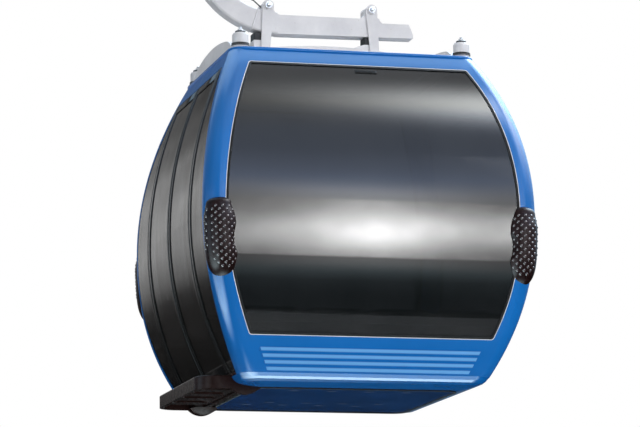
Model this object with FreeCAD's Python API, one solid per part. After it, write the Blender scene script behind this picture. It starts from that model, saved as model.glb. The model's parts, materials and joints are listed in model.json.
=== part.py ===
"""Aerial ropeway cabin: an eight-seat gondola with its hanger and detachable rope grip.

Millimetres, +Z up, +Y along the rope, doors on the -X side.  The model is drawn with z = 0 at the
underside of the floor pan and is moved down on export, so that the origin lies on the rope's axis.
"""
import FreeCAD, Part
import math
import os
from FreeCAD import Vector

# ---- overall sizes ----
ROPE_HEIGHT = 4400.0        # rope axis above the underside of the floor pan
ROPE_D = 50.0               # haul rope

BODY_HALF_WIDTH = 1049.0    # at its widest, across the rope
WIDEST_Z = 1030.0
UPPER_SIDE_R = 2300.0       # side profile above and below its widest point
LOWER_SIDE_R = 1960.0

BODY_HALF_LENGTH = 1080.0   # along the rope
END_FLAT_LOW = 750.0        # the end walls are upright between these heights
END_FLAT_HIGH = 1100.0
UPPER_END_R = 1420.0
LOWER_END_R = 1325.0

BODY_LOW = 60.0             # bottom and top of the walls
BODY_TOP = 2100.0
CORNER_R = 100.0            # rounding of the four corner posts, seen from above
WALL = 28.0
POST_END_WIDTH = 122.0      # post, seen from the end and from the side
POST_SIDE_WIDTH = 110.0

# ---- windows and panels ----
WINDOW_LOW = 274.0
WINDOW_TOP = 2003.0
WINDOW_CORNER_R = 20.0
SEAL_WIDTH = 14.0
SEAL_DEPTH = 16.0
SEAL_SET_IN = 1.0
GLASS_THICK = 6.0
GLASS_SET_IN = 4.0
RIB_HEIGHTS = (81.0, 119.0, 156.0, 193.0)   # the ribs on the end panels
RIB_TALL = 22.0
RIB_PROUD = 4.0
RIB_MARGIN = 26.0

# ---- doors ----
DOOR_LOW = 84.0
RIM_LOW = 1982.0            # underside of the side rails of the roof
LEAF_WIDTH = 600.0
LEAF_GAP = 10.0             # between the two leaves, filled by their rubber
PANE_GAP = 8.0              # between a leaf and the fixed pane beside it
LEAF_CORNER_R = 30.0
LEAF_GLASS_SET_IN = 3.0
LEAF_FRAME_WIDTH = 48.0
LEAF_FRAME_THICK = 20.0
GUIDE_GAP = 0.3             # between a leaf's frame and the rail that guides it
GUIDE_LIP = 14.0            # how far the rail reaches over the leaf's frame
GUIDE_TALL = 66.0
GUIDE_WIDE = 48.0

# ---- floor and step ----
PAN_HALF_WIDTH = 640.0      # flat underside of the pan
PAN_HALF_LENGTH = 618.0
PAN_TURN_Z = 22.0           # where the walls' line would meet the sloping underside
PAN_TURN_R = 78.0           # rounding there
PAN_SHEET = 8.0
DRAIN_PITCH = 240.0
DRAIN_ROWS = ((-470.0, 0.0), (180.0, 0.0), (305.0, 0.5))    # place along the rope, shift in pitches
DRAIN_COLUMNS = 4
DRAIN_LONG = 62.0
DRAIN_WIDE = 30.0
DECK_THICK = 18.0

STEP_INNER_X = 690.0
STEP_OUTER_X = 1000.0
STEP_HALF_LENGTH = 625.0
STEP_TOP = 70.0
STEP_LOW = -10.0
STEP_CORNER_R = 130.0
STEP_POCKET_R = 70.0
STEP_EDGE_R = 9.0
STEP_RIM = 30.0
STEP_TOP_SHEET = 14.0
STEP_SLATS = 4
STEP_SLAT_WIDE = 140.0
STEP_SLAT_LIFT = 14.0       # underside of the slats above the rim's
APRON_THICK = 12.0          # the step's skirt, which wraps the foot of the door side
APRON_REACH = 612.0         # how far in towards the middle it goes at the corners
APRON_RIM = 26.0            # width left of it under the pan, at the two ends
LIP_OUTER_X = 790.0         # the rounded lips below the skirt's ends
LIP_LOW = -46.0
LIP_WIDE = 46.0
BUFFER_R = 88.0
BUFFER_TALL = 40.0
BUFFER_X = 715.0
BUFFER_Y = 487.0
BUFFER_SEAT_R = 74.0

# ---- benches ----
BENCH_TOP = 425.0
BENCH_DEEP = 400.0
BENCH_BOARD = 22.0
BENCH_CLEAR = 3.0           # to the walls
SEATS_PER_BENCH = 4
SEAT_PITCH = 410.0
CUSHION_GAP = 26.0
CUSHION_THICK = 38.0

# ---- corner bumpers ----
BUMPER_LOW = 598.0           # ends of its turned form, partly inside the wall
BUMPER_HIGH = 1120.0
BUMPER_R = 102.0
BUMPER_SHIFT_X = 3.0        # its axis, outwards from the middle of the corner's rounding
BUMPER_SHIFT_Y = 43.0
BUMPER_FULLNESS = 3.4       # how nearly straight its sides are between the two rounded ends
BUMPER_WAIST_R = 260.0      # the hollow in the flank beside the window
BUMPER_WAIST_DEEP = 14.0
BUMPER_WAIST_ABOVE = -14.0  # its middle above the pad's middle
BUMPER_LEAN = 3.0           # degrees, its top outwards

# ---- roof and the frame on it ----
ROOF_FLANGE = 12.0
ROOF_CROWN = 64.0           # height of the roof's crown above its flange
ROOF_SHEET = 10.0
CROWN_MARGIN_X = 150.0      # flat flange left around the crown
CROWN_MARGIN_Y = 60.0
CROWN_BLEND_R = 120.0
CROWN_EDGE = 16.0           # upright edge of the crown, above the flange

MOUNT_X = 716.0
MOUNT_Y = 600.0
MOUNT_SKIRT_R = 57.0
MOUNT_SKIRT = 13.0
MOUNT_HOUSING_R = 51.0
MOUNT_HOUSING = 72.0
MOUNT_SHOULDER_R = 16.0
MOUNT_CAP_R = 33.0
MOUNT_CAP = 12.0
STUD_R = 9.0
STUD_TALL = 24.0
STUD_NUT_R = 17.0
STUD_NUT = 13.0

ARM_WIDE = 84.0             # the two bowed arms that run along the cabin from mount to mount
ARM_END_TALL = 15.0
ARM_RISE = 123.0            # top of the bow above the roof's flange
ARM_SHOULDER_Y = 400.0      # the bow is nearly level as far as here
ARM_SHOULDER_DROP = 36.0
ARM_WALL = 8.0

RAIL_WIDE = 110.0           # the bowed rail that joins the arms across the cabin
RAIL_TALL = 72.0
RAIL_TOP = 2276.0
RAIL_R = 3250.0
RAIL_WALL = 8.0

SUSPENSION_X = -62.0        # middle of the two stirrups, off the cabin's middle
BEAM_LOW = 2345.0
BEAM_WIDE = 110.0
BEAM_TALL = 124.0
BEAM_RIGHT_END = 560.0
BEAM_TAIL_STEP = 26.0       # the tail beyond the right stirrup is this much lower on top
BEAM_NOSE = 26.0

STIRRUP_PITCH = 685.0       # between the two pins
STIRRUP_FOOT_OUT = 22.0     # the feet stand this much further out than the pins
STIRRUP_PLATE = 14.0
STIRRUP_FOOT_WIDE = 56.0
STIRRUP_HEAD_R = 37.0
STIRRUP_PIN_R = 17.0
STIRRUP_PIN_ABOVE = 55.0    # pin's axis above the beam's top
STIRRUP_GAP = 1.0
STIRRUP_FOOT_LOW = 2196.0
PIN_HEAD_R = 27.0
PIN_HEAD = 16.0
SADDLE_OUT = 44.0           # how far saddle and pad stand out to the left of a stirrup's foot
SADDLE_TOES = (0.0, 60.0)   # length of the sloping toe of the left and the right saddle
SADDLE_TOE_EDGE = 5.0       # its height at the tip
PAD_THICK = 48.0            # rubber block between saddle and beam
LUG_FLARE = 95.0

# ---- hanger ----
TUBE_DEEP = 140.0           # box tube, in the plane of its bends
TUBE_WIDE = 110.0
TUBE_WALL = 9.0
TUBE_CORNER_R = 14.0
LOWER_BEND_R = 510.0        # of the tube's middle line
UPPER_BEND_R = 400.0
BEND_START_X = -340.0
BEND_JOINT_DEG = 17.0       # the beam's own bent end reaches this far round the lower bend

# ---- grip, places given from the rope's axis ----
SPINDLE_DROP = 165.0        # axis of the hanger's bearing below the rope
SPINDLE_R = 34.0
SPINDLE_CLEAR = 0.05
HUB_R = 78.0
HUB_FACE_X = -156.0         # where the hanger's hub stops beside the grip
HUB_COLLAR = 26.0
SPINDLE_END_X = 117.0
SPINDLE_NUT_R = 50.0
SPINDLE_NUT = 26.0
BARREL_LEFT_X = -150.0      # the bearing's housing
BARREL_RIGHT_X = 116.0
BARREL_R = 64.0
BLOCK_LEFT_X = -112.0       # the block over it that carries the jaws
BLOCK_HALF_LENGTH = 150.0
BLOCK_LOW = -140.0
BLOCK_TOP = -95.0
BLOCK_EDGE_R = 14.0

JAW_HALF_LENGTH = 118.0
JAW_WALL = 26.0
JAW_PIVOT_X = -72.0
JAW_PIVOT_Z = -64.0
JAW_PIN_R = 16.0
JAW_EYE_R = 26.0
LUG_R = 30.0
LUG_WIDE = 28.0
LUG_GAP = 1.0

LEVER_END_X = -268.0
LEVER_END_Z = 66.0
LEVER_WIDE = 30.0
LEVER_ROOT_R = 34.0
LEVER_TIP_R = 22.0
ROLLER_R = 42.0
ROLLER_WIDE = 34.0
ROLLER_PIN_R = 12.0
ROLLER_CLEAR = 0.05

CHEEK_X = 92.0              # upright plate that carries the wheels and the drive plate
CHEEK_THICK = 24.0
CHEEK_FOOT_HALF = 118.0
CHEEK_ARM_LOW = 4.0         # the plate's outline: narrow foot, wide arms, narrower top
CHEEK_ARM_HIGH = 84.0
CHEEK_TOP_HALF = 150.0
CHEEK_EYE_R = 30.0
CHEEK_HOLE_R = 30.0
CHEEK_HOLE_Y = 84.0
WHEEL_R = 62.0
WHEEL_WIDE = 38.0
WHEEL_TYRE = 16.0
WHEEL_Y = 190.0
WHEEL_X = 164.0
WHEEL_Z = 40.0
WHEEL_DISH = 7.0
AXLE_R = 14.0
AXLE_CLEAR = 0.05
DRIVE_PLATE_Z = 148.0
DRIVE_PLATE_THICK = 14.0
DRIVE_PLATE_HALF = 290.0
DRIVE_PLATE_WIDE = 96.0
DRIVE_PLATE_RAMP = 60.0     # its two ends bend down over this length
SPRING_R = 34.0
SPRING_X = -62.0
SPRING_Y = 106.0
SPRING_LOW = -296.0
SPRING_CAP = 18.0

FAR = 3000.0                # reach of the bodies used only for cutting

PARTS = {}


def keep(name, shape):
    """Files one finished piece under its node name."""
    PARTS[name] = shape


# ---------------------------------------------------------------------------------------------
# outlines of the cabin
# ---------------------------------------------------------------------------------------------

def half_width(z, inset=0.0):
    radius = UPPER_SIDE_R if z >= WIDEST_Z else LOWER_SIDE_R
    centre = BODY_HALF_WIDTH - radius
    return centre + math.sqrt((radius - inset) ** 2 - (z - WIDEST_Z) ** 2)


def half_length(z, inset=0.0):
    if z > END_FLAT_HIGH:
        radius, level = UPPER_END_R, END_FLAT_HIGH
    elif z < END_FLAT_LOW:
        radius, level = LOWER_END_R, END_FLAT_LOW
    else:
        return BODY_HALF_LENGTH - inset
    centre = BODY_HALF_LENGTH - radius
    return centre + math.sqrt((radius - inset) ** 2 - (z - level) ** 2)


def profile_edges(reach, levels, place):
    """Arcs or lines through reach(z) between neighbouring levels; place turns (r, z) into 3-D."""
    edges = []
    for low, high in zip(levels[:-1], levels[1:]):
        middle = (low + high) / 2.0
        start, mid, end = (place(reach(z), z) for z in (low, middle, high))
        if (start + end).multiply(0.5).distanceToPoint(mid) < 1e-4:
            edges.append(Part.LineSegment(start, end).toShape())
        else:
            edges.append(Part.Arc(start, mid, end).toShape())
    return edges


def closed_face(reach, breaks, low, high, place, corner=0.0):
    """The face between the curve reach(z) and its mirror image, from low to high."""
    levels = [low] + [z for z in breaks if low < z < high] + [high]
    right = profile_edges(reach, levels, place)
    left = profile_edges(lambda z: -reach(z), levels, place)
    top = Part.LineSegment(place(reach(high), high), place(-reach(high), high)).toShape()
    bottom = Part.LineSegment(place(reach(low), low), place(-reach(low), low)).toShape()
    wire = Part.Wire(Part.__sortEdges__(right + [top] + left + [bottom]))
    return Part.Face(wire)


def across(r, z):
    return Vector(r, 0, z)


def along(r, z):
    return Vector(0, r, z)


def across_prism(inset, low, high):
    """The cabin's outline seen from the end, drawn out along the rope."""
    face = closed_face(lambda z: half_width(z, inset), (WIDEST_Z,), low, high, across)
    face.translate(Vector(0, -FAR, 0))
    return face.extrude(Vector(0, 2 * FAR, 0))


def along_prism(inset, low, high):
    """The cabin's outline seen from the side, drawn out across the rope."""
    face = closed_face(lambda z: half_length(z, inset), (END_FLAT_LOW, END_FLAT_HIGH), low, high, along)
    face.translate(Vector(-FAR, 0, 0))
    return face.extrude(Vector(2 * FAR, 0, 0))


def barrel(inset, low, high):
    """The cabin's whole outer form, offset inwards, with its four corners rounded."""
    block = across_prism(inset, low, high).common(along_prism(inset, low, high))
    corners = []
    for edge in block.Edges:
        middle = edge.valueAt((edge.FirstParameter + edge.LastParameter) / 2.0)
        on_side = abs(abs(middle.x) - half_width(middle.z, inset)) < 0.5
        on_end = abs(abs(middle.y) - half_length(middle.z, inset)) < 0.5
        if on_side and on_end and low + 1 < middle.z < high - 1:
            corners.append(edge)
    return block.makeFillet(CORNER_R - inset, corners)


def slab(x0, x1, y0, y1, z0, z1):
    return Part.makeBox(x1 - x0, y1 - y0, z1 - z0, Vector(x0, y0, z0))


def rounded_slab(x0, x1, y0, y1, z0, z1, radius, direction="z"):
    """A box whose four edges along one direction are rounded."""
    block = slab(x0, x1, y0, y1, z0, z1)
    want = {"x": Vector(1, 0, 0), "y": Vector(0, 1, 0), "z": Vector(0, 0, 1)}[direction]
    edges = [e for e in block.Edges if abs(e.tangentAt(e.FirstParameter).dot(want)) > 0.99]
    return block.makeFillet(radius, edges)


def cylinder(radius, start, end):
    direction = end - start
    return Part.makeCylinder(radius, direction.Length, start, direction)


def round_vertical(block, radius, direction):
    """Rounds the edges of an extruded block that run along its extrusion."""
    edges = [e for e in block.Edges
             if len(e.Vertexes) == 2 and abs(e.tangentAt(e.FirstParameter).dot(direction)) > 0.999]
    return block.makeFillet(radius, edges)


# ---------------------------------------------------------------------------------------------
# walls: end walls (towards -Y and +Y) and side walls (towards -X and +X)
# ---------------------------------------------------------------------------------------------

def end_opening(extra):
    """Prism through both end walls with the window's outline, made smaller by extra."""
    low, high = WINDOW_LOW + extra, WINDOW_TOP - extra
    prism = across_prism(POST_END_WIDTH + extra, low, high)
    corners = [e for e in prism.Edges
               if abs(e.tangentAt(e.FirstParameter).dot(Vector(0, 1, 0))) > 0.999
               and min(abs(e.Vertexes[0].Z - low), abs(e.Vertexes[0].Z - high)) < 0.1]
    return prism.makeFillet(WINDOW_CORNER_R - extra, corners)


def side_opening(extra, low, high, radius):
    """Prism through both side walls with the outline of the opening between the posts."""
    prism = along_prism(POST_SIDE_WIDTH + extra, low + extra, high - extra)
    corners = [e for e in prism.Edges
               if abs(e.tangentAt(e.FirstParameter).dot(Vector(1, 0, 0))) > 0.999
               and min(abs(e.Vertexes[0].Z - low - extra), abs(e.Vertexes[0].Z - high + extra)) < 0.1]
    return prism.makeFillet(radius, corners)


def end_skin(outer_inset, inner_inset):
    """A sheet that follows the end walls, between two depths from their outer face."""
    low, high = BODY_LOW - 1, BODY_TOP + 1
    return along_prism(outer_inset, low, high).cut(along_prism(inner_inset, low - 1, high + 1))


def side_skin(outer_inset, inner_inset):
    low, high = BODY_LOW - 1, BODY_TOP + 1
    return across_prism(outer_inset, low, high).cut(across_prism(inner_inset, low - 1, high + 1))


def towards(side, shape):
    """The part of a shape on one side of the middle: side is a pair such as (0, -1)."""
    x0, x1 = (0, FAR) if side[0] > 0 else (-FAR, 0) if side[0] < 0 else (-FAR, FAR)
    y0, y1 = (0, FAR) if side[1] > 0 else (-FAR, 0) if side[1] < 0 else (-FAR, FAR)
    return shape.common(slab(x0, x1, y0, y1, -FAR, 2 * FAR))


def between(shape, low, high):
    return shape.common(slab(-FAR, FAR, -FAR, FAR, low, high))


ENDS = (("front", (0, -1)), ("rear", (0, 1)))
SIDES = (("left", (-1, 0)), ("right", (1, 0)))


def corner_posts():
    shell = barrel(0, BODY_LOW, BODY_TOP).cut(barrel(WALL, BODY_LOW - 1, BODY_TOP + 1))
    end_gap = across_prism(POST_END_WIDTH, BODY_LOW - 2, BODY_TOP + 2)
    side_gap = along_prism(POST_SIDE_WIDTH, BODY_LOW - 2, BODY_TOP + 2)
    posts = shell.cut(end_gap).cut(side_gap)
    for end, (_, ey) in ENDS:
        for side, (sx, _) in SIDES:
            keep("corner_post_%s_%s" % (end, side), towards((sx, ey), posts).Solids[0])


def end_walls():
    strip = end_skin(0, WALL).common(across_prism(POST_END_WIDTH, BODY_LOW, BODY_TOP))
    frame = strip.cut(end_opening(0))
    headers = between(frame, WINDOW_TOP - 300, BODY_TOP)
    panels = between(frame, BODY_LOW, WINDOW_LOW + 300)
    ribs = end_ribs()
    seals = end_skin(SEAL_SET_IN, SEAL_SET_IN + SEAL_DEPTH).common(
        end_opening(0).cut(end_opening(SEAL_WIDTH)))
    glass = end_skin(GLASS_SET_IN, GLASS_SET_IN + GLASS_THICK).common(end_opening(SEAL_WIDTH))
    keep("roof_edges_ends", headers)
    for end, toward in ENDS:
        keep("lower_panel_" + end, towards(toward, panels).fuse(towards(toward, ribs)).removeSplitter())
        keep("window_seal_" + end, towards(toward, seals).Solids[0])
        keep("window_" + end, towards(toward, glass).Solids[0])


def end_ribs():
    """Raised ribs across the end panels, as long as each height leaves room for."""
    skin = end_skin(-RIB_PROUD, 1.0)
    ribs = None
    for level in RIB_HEIGHTS:
        reach = half_width(level, POST_END_WIDTH) - RIB_MARGIN
        bar = rounded_slab(-reach, reach, -FAR, FAR, level - RIB_TALL / 2, level + RIB_TALL / 2,
                           RIB_TALL / 2 - 0.5, "y")
        rib = skin.common(bar)
        ribs = rib if ribs is None else ribs.fuse(rib)
    return ribs


def right_wall():
    toward = (1, 0)
    strip = towards(toward, side_skin(0, WALL).common(along_prism(POST_SIDE_WIDTH, BODY_LOW, BODY_TOP)))
    opening = side_opening(0, WINDOW_LOW, RIM_LOW, WINDOW_CORNER_R)
    inner = side_opening(SEAL_WIDTH, WINDOW_LOW, RIM_LOW, WINDOW_CORNER_R - SEAL_WIDTH)
    frame = strip.cut(opening)
    seal = side_skin(SEAL_SET_IN, SEAL_SET_IN + SEAL_DEPTH).common(opening.cut(inner))
    glass = side_skin(GLASS_SET_IN, GLASS_SET_IN + GLASS_THICK).common(inner)
    keep("roof_rail_right", between(frame, WINDOW_TOP - 300, BODY_TOP).Solids[0])
    keep("lower_panel_right", between(frame, BODY_LOW, WINDOW_LOW + 300).Solids[0])
    keep("window_seal_right", towards(toward, seal).Solids[0])
    keep("window_right", towards(toward, glass).Solids[0])


def leaf_outline(start, end, extra):
    """Prism with the outline of one door leaf, from y = start to end, made smaller by extra."""
    block = slab(-FAR, 0, start + extra, end - extra, DOOR_LOW + extra, RIM_LOW - PANE_GAP + -extra)
    leaf = round_vertical(block, LEAF_CORNER_R - extra / 3.0, Vector(1, 0, 0))
    return leaf.common(along_prism(POST_SIDE_WIDTH + PANE_GAP + extra, BODY_LOW, BODY_TOP))


def door_wall():
    toward = (-1, 0)
    strip = towards(toward, side_skin(0, WALL).common(along_prism(POST_SIDE_WIDTH, BODY_LOW, BODY_TOP)))
    keep("roof_rail_left", between(strip, RIM_LOW, BODY_TOP).Solids[0])
    keep("door_sill", between(strip, BODY_LOW, DOOR_LOW - PANE_GAP).Solids[0])

    glass_skin = side_skin(LEAF_GLASS_SET_IN, LEAF_GLASS_SET_IN + GLASS_THICK)
    frame_set_in = LEAF_GLASS_SET_IN + GLASS_THICK
    frame_skin = side_skin(frame_set_in, frame_set_in + LEAF_FRAME_THICK)
    panes = []
    for end, (_, ey) in ENDS:
        near, far = LEAF_GAP / 2, LEAF_GAP / 2 + LEAF_WIDTH
        start, stop = (near, far) if ey > 0 else (-far, -near)
        whole = leaf_outline(start, stop, 0)
        ring = whole.cut(leaf_outline(start, stop, LEAF_FRAME_WIDTH))
        keep("door_glass_" + end, glass_skin.common(whole).Solids[0])
        keep("door_frame_" + end, frame_skin.common(ring).Solids[0])

        pane_start = far + PANE_GAP
        y0, y1 = (pane_start, FAR) if ey > 0 else (-FAR, -pane_start)
        pane = slab(-FAR, 0, y0, y1, DOOR_LOW - PANE_GAP, RIM_LOW).common(
            along_prism(POST_SIDE_WIDTH, BODY_LOW, BODY_TOP))
        panes.append(side_skin(LEAF_GLASS_SET_IN, frame_set_in).common(pane).Solids[0])
    keep("side_panes", Part.makeCompound(panes))

    middle = slab(-FAR, 0, -LEAF_GAP / 2, LEAF_GAP / 2, DOOR_LOW, RIM_LOW - PANE_GAP)
    keep("door_middle_seal", side_skin(LEAF_GLASS_SET_IN + 1, WALL - 4).common(middle).Solids[0])


def door_guide():
    """The rail inside, over the doors, that the leaves hang from and slide along."""
    low = RIM_LOW - PANE_GAP + GUIDE_GAP
    reach = half_length(low + GUIDE_TALL) - POST_SIDE_WIDTH
    wall = half_width(low + GUIDE_TALL, WALL)
    lip = half_width(low, LEAF_GLASS_SET_IN + GLASS_THICK + LEAF_FRAME_THICK) + GUIDE_LIP
    channel = slab(-wall, -wall + GUIDE_WIDE, -reach, reach, low, low + GUIDE_TALL)
    groove = slab(-wall + 8, -wall + GUIDE_WIDE - 8, -reach - 1, reach + 1, low - 1, low + GUIDE_TALL - 8)
    shelf = slab(-lip, -wall + GUIDE_WIDE, -reach, reach, low, RIM_LOW - GUIDE_GAP)
    keep("door_guide_rail", channel.cut(groove).fuse(shelf).removeSplitter())


# ---------------------------------------------------------------------------------------------
# floor, step and benches
# ---------------------------------------------------------------------------------------------

def rounded_rectangle(half_x, half_y, radius, z):
    """A closed wire: four lines and four arcs."""
    edges = []
    for sx, sy in ((1, 1), (-1, 1), (-1, -1), (1, -1)):
        centre = Vector(sx * (half_x - radius), sy * (half_y - radius), z)
        along_y = centre + Vector(0, sy * radius, 0)
        along_x = centre + Vector(sx * radius, 0, 0)
        slant = centre + Vector(sx, sy, 0).normalize().multiply(radius)
        edges.append(Part.Arc(along_x, slant, along_y).toShape())
    lines = []
    for sx in (1, -1):
        lines.append(((sx * half_x, -half_y + radius), (sx * half_x, half_y - radius)))
    for sy in (1, -1):
        lines.append(((-half_x + radius, sy * half_y), (half_x - radius, sy * half_y)))
    for (x0, y0), (x1, y1) in lines:
        edges.append(Part.LineSegment(Vector(x0, y0, z), Vector(x1, y1, z)).toShape())
    return Part.Wire(Part.__sortEdges__(edges))


def pan_reach(z, flat, foot, lean):
    """Half a size of the pan at height z: sloping underside, rounded turn, then the walls' line."""
    turn = foot - (BODY_LOW - PAN_TURN_Z) * lean
    under = math.atan2(PAN_TURN_Z, turn - flat)
    wall = math.atan2(1.0, lean)
    cut = PAN_TURN_R * math.tan((wall - under) / 2.0)
    start_z = PAN_TURN_Z - cut * math.sin(under)
    end_z = PAN_TURN_Z + cut * math.sin(wall)
    if z <= start_z:
        return flat + (turn - flat) * z / PAN_TURN_Z
    if z >= end_z:
        return foot - (BODY_LOW - z) * lean
    start_r = turn - cut * math.cos(under)
    centre_r = start_r - PAN_TURN_R * math.sin(under)
    centre_z = start_z + PAN_TURN_R * math.cos(under)
    return centre_r + math.sqrt(PAN_TURN_R ** 2 - (centre_z - z) ** 2)


def pan_form(inset):
    """The floor pan's form: flat underside, widening with a rounded turn to the foot of the walls."""
    lean_x = (half_width(BODY_LOW + 1) - half_width(BODY_LOW - 1)) / 2.0
    lean_y = (half_length(BODY_LOW + 1) - half_length(BODY_LOW - 1)) / 2.0
    sections = []
    for z, radius in ((0.0, 90.0), (10.0, 94.0), (17.0, 96.0), (27.0, 98.0), (40.0, 99.0), (BODY_LOW, CORNER_R)):
        half_x = pan_reach(z, PAN_HALF_WIDTH, half_width(BODY_LOW), lean_x) - inset
        half_y = pan_reach(z, PAN_HALF_LENGTH, half_length(BODY_LOW), lean_y) - inset
        level = z + inset * (1.0 - z / BODY_LOW)
        sections.append(rounded_rectangle(half_x, half_y, radius - inset, level))
    return Part.makeLoft(sections, True, True)


def floor_pan():
    hollow = pan_form(PAN_SHEET)
    pan = pan_form(0).cut(hollow)
    holes = []
    for y, shift in DRAIN_ROWS:
        for column in range(DRAIN_COLUMNS):
            x = (column - (DRAIN_COLUMNS - 1) / 2.0 - shift) * DRAIN_PITCH
            holes.append(rounded_slab(x - DRAIN_LONG / 2, x + DRAIN_LONG / 2, y - DRAIN_WIDE / 2,
                                      y + DRAIN_WIDE / 2, -1, PAN_SHEET + 1, DRAIN_WIDE / 2 - 0.5))
    keep("floor_pan", pan.cut(Part.makeCompound(holes)))
    room = barrel(WALL, BODY_LOW - 1, BODY_TOP + 1)
    keep("floor_deck", between(room, BODY_LOW, BODY_LOW + DECK_THICK))


def door_step():
    """The moulded step under the doors, open with slats below, and its skirt round the pan's foot."""
    block = slab(-STEP_OUTER_X, -STEP_INNER_X, -STEP_HALF_LENGTH, STEP_HALF_LENGTH, STEP_LOW, STEP_TOP)
    outer = [e for e in block.Edges if abs(e.tangentAt(e.FirstParameter).z) > 0.99
             and e.Vertexes[0].X < -STEP_OUTER_X + 1]
    block = block.makeFillet(STEP_CORNER_R, outer)
    rims = [e for e in block.Edges if e.Vertexes[0].Z > STEP_TOP - 1 and e.Vertexes[-1].Z > STEP_TOP - 1
            and e.CenterOfMass.x < -STEP_INNER_X]
    block = block.makeFillet(STEP_EDGE_R, rims)
    x0, x1 = -STEP_OUTER_X + STEP_RIM, -STEP_INNER_X - STEP_RIM
    half = STEP_HALF_LENGTH - STEP_RIM
    ceiling = STEP_TOP - STEP_TOP_SHEET
    pocket = rounded_slab(x0, x1, -half, half, STEP_LOW - 1, ceiling, STEP_POCKET_R)
    pitch = 2 * half / (STEP_SLATS + 1)
    slats = []
    for i in range(STEP_SLATS):
        y = -half + pitch * (i + 1)
        slats.append(slab(x0, x1, y - STEP_SLAT_WIDE / 2, y + STEP_SLAT_WIDE / 2,
                          STEP_LOW + STEP_SLAT_LIFT, ceiling))
    tread = block.cut(pocket).fuse(slats)
    skirt = pan_form(-APRON_THICK).common(
        slab(-FAR, -APRON_REACH, -STEP_HALF_LENGTH, STEP_HALF_LENGTH, -FAR, BODY_LOW))
    bay_half = STEP_HALF_LENGTH - APRON_RIM
    bay = slab(-STEP_INNER_X, 0, -bay_half, bay_half, -FAR, 0)
    seat = cylinder(BUFFER_SEAT_R, Vector(-BUFFER_X, BUFFER_Y, STEP_LOW), Vector(-BUFFER_X, BUFFER_Y, ceiling))
    step = tread.fuse([skirt.cut(bay), seat] + step_lips())
    step = step.cut(pan_form(0)).cut(across_prism(0, BODY_LOW, BODY_TOP))
    keep("door_step", max(step.removeSplitter().Solids, key=lambda solid: solid.Volume))

    top = Vector(-BUFFER_X, BUFFER_Y, STEP_LOW)
    ball_r = (BUFFER_R ** 2 + BUFFER_TALL ** 2) / (2 * BUFFER_TALL)
    ball = Part.makeSphere(ball_r, top + Vector(0, 0, ball_r - BUFFER_TALL))
    keep("step_buffer", ball.common(slab(-FAR, 0, 0, FAR, -FAR, top.z)))


def step_lips():
    """The two rounded lips that hang below the ends of the skirt, where it turns under the pan."""
    lips = []
    outer, inner = -LIP_OUTER_X, -APRON_REACH
    for ey in (-1, 1):
        y0 = min(ey * STEP_HALF_LENGTH, ey * (STEP_HALF_LENGTH - LIP_WIDE))
        edges = [Part.Arc(Vector(outer, y0, STEP_LOW), Vector((outer + inner) / 2, y0, LIP_LOW),
                          Vector(inner, y0, 0)).toShape(),
                 Part.LineSegment(Vector(inner, y0, 0), Vector(inner, y0, 1)).toShape(),
                 Part.LineSegment(Vector(inner, y0, 1), Vector(outer, y0, 1)).toShape(),
                 Part.LineSegment(Vector(outer, y0, 1), Vector(outer, y0, STEP_LOW)).toShape()]
        lips.append(Part.Face(Part.Wire(edges)).extrude(Vector(0, LIP_WIDE, 0)))
    return lips


def benches():
    room = barrel(WALL + BENCH_CLEAR, BODY_LOW + DECK_THICK, BODY_TOP)
    floor = BODY_LOW + DECK_THICK
    for end, (_, ey) in ENDS:
        wall = half_length(BENCH_TOP, WALL)
        front = wall - BENCH_DEEP
        y0, y1 = sorted((ey * front, ey * FAR))
        board = room.common(slab(-FAR, FAR, y0, y1, BENCH_TOP - BENCH_BOARD, BENCH_TOP))
        a, b = sorted((ey * (front + 30), ey * (front + 30 + BENCH_BOARD)))
        riser = room.common(slab(-FAR, FAR, a, b, floor, BENCH_TOP - BENCH_BOARD))
        keep("bench_" + end, board.fuse(riser).removeSplitter())
        pads = []
        for i in range(SEATS_PER_BENCH):
            x = (i - (SEATS_PER_BENCH - 1) / 2.0) * SEAT_PITCH
            half = (SEAT_PITCH - CUSHION_GAP) / 2
            c0, c1 = sorted((ey * (front + 6), ey * (wall - 60)))
            pads.append(rounded_slab(x - half, x + half, c0, c1, BENCH_TOP,
                                     BENCH_TOP + CUSHION_THICK, 50))
        keep("seat_pads_" + end, Part.makeCompound(pads))


# ---------------------------------------------------------------------------------------------
# bumpers
# ---------------------------------------------------------------------------------------------

def bumper_profile():
    """Half the pad's outline, drawn in the XZ plane with its axis on Z."""
    middle, half = (BUMPER_LOW + BUMPER_HIGH) / 2, (BUMPER_HIGH - BUMPER_LOW) / 2
    points = []
    steps = 12
    for i in range(steps + 1):
        t = math.sin(math.pi * (i / steps - 0.5))
        r = BUMPER_R * math.sqrt(max(0.0, 1.0 - abs(t) ** BUMPER_FULLNESS))
        points.append(Vector(r, 0, middle + half * t))
    curve = Part.BSplineCurve()
    curve.interpolate(Points=points, InitialTangent=Vector(1, 0, 0), FinalTangent=Vector(-1, 0, 0))
    axis = Part.LineSegment(points[-1], points[0]).toShape()
    return Part.Face(Part.Wire([curve.toShape(), axis]))


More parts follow.
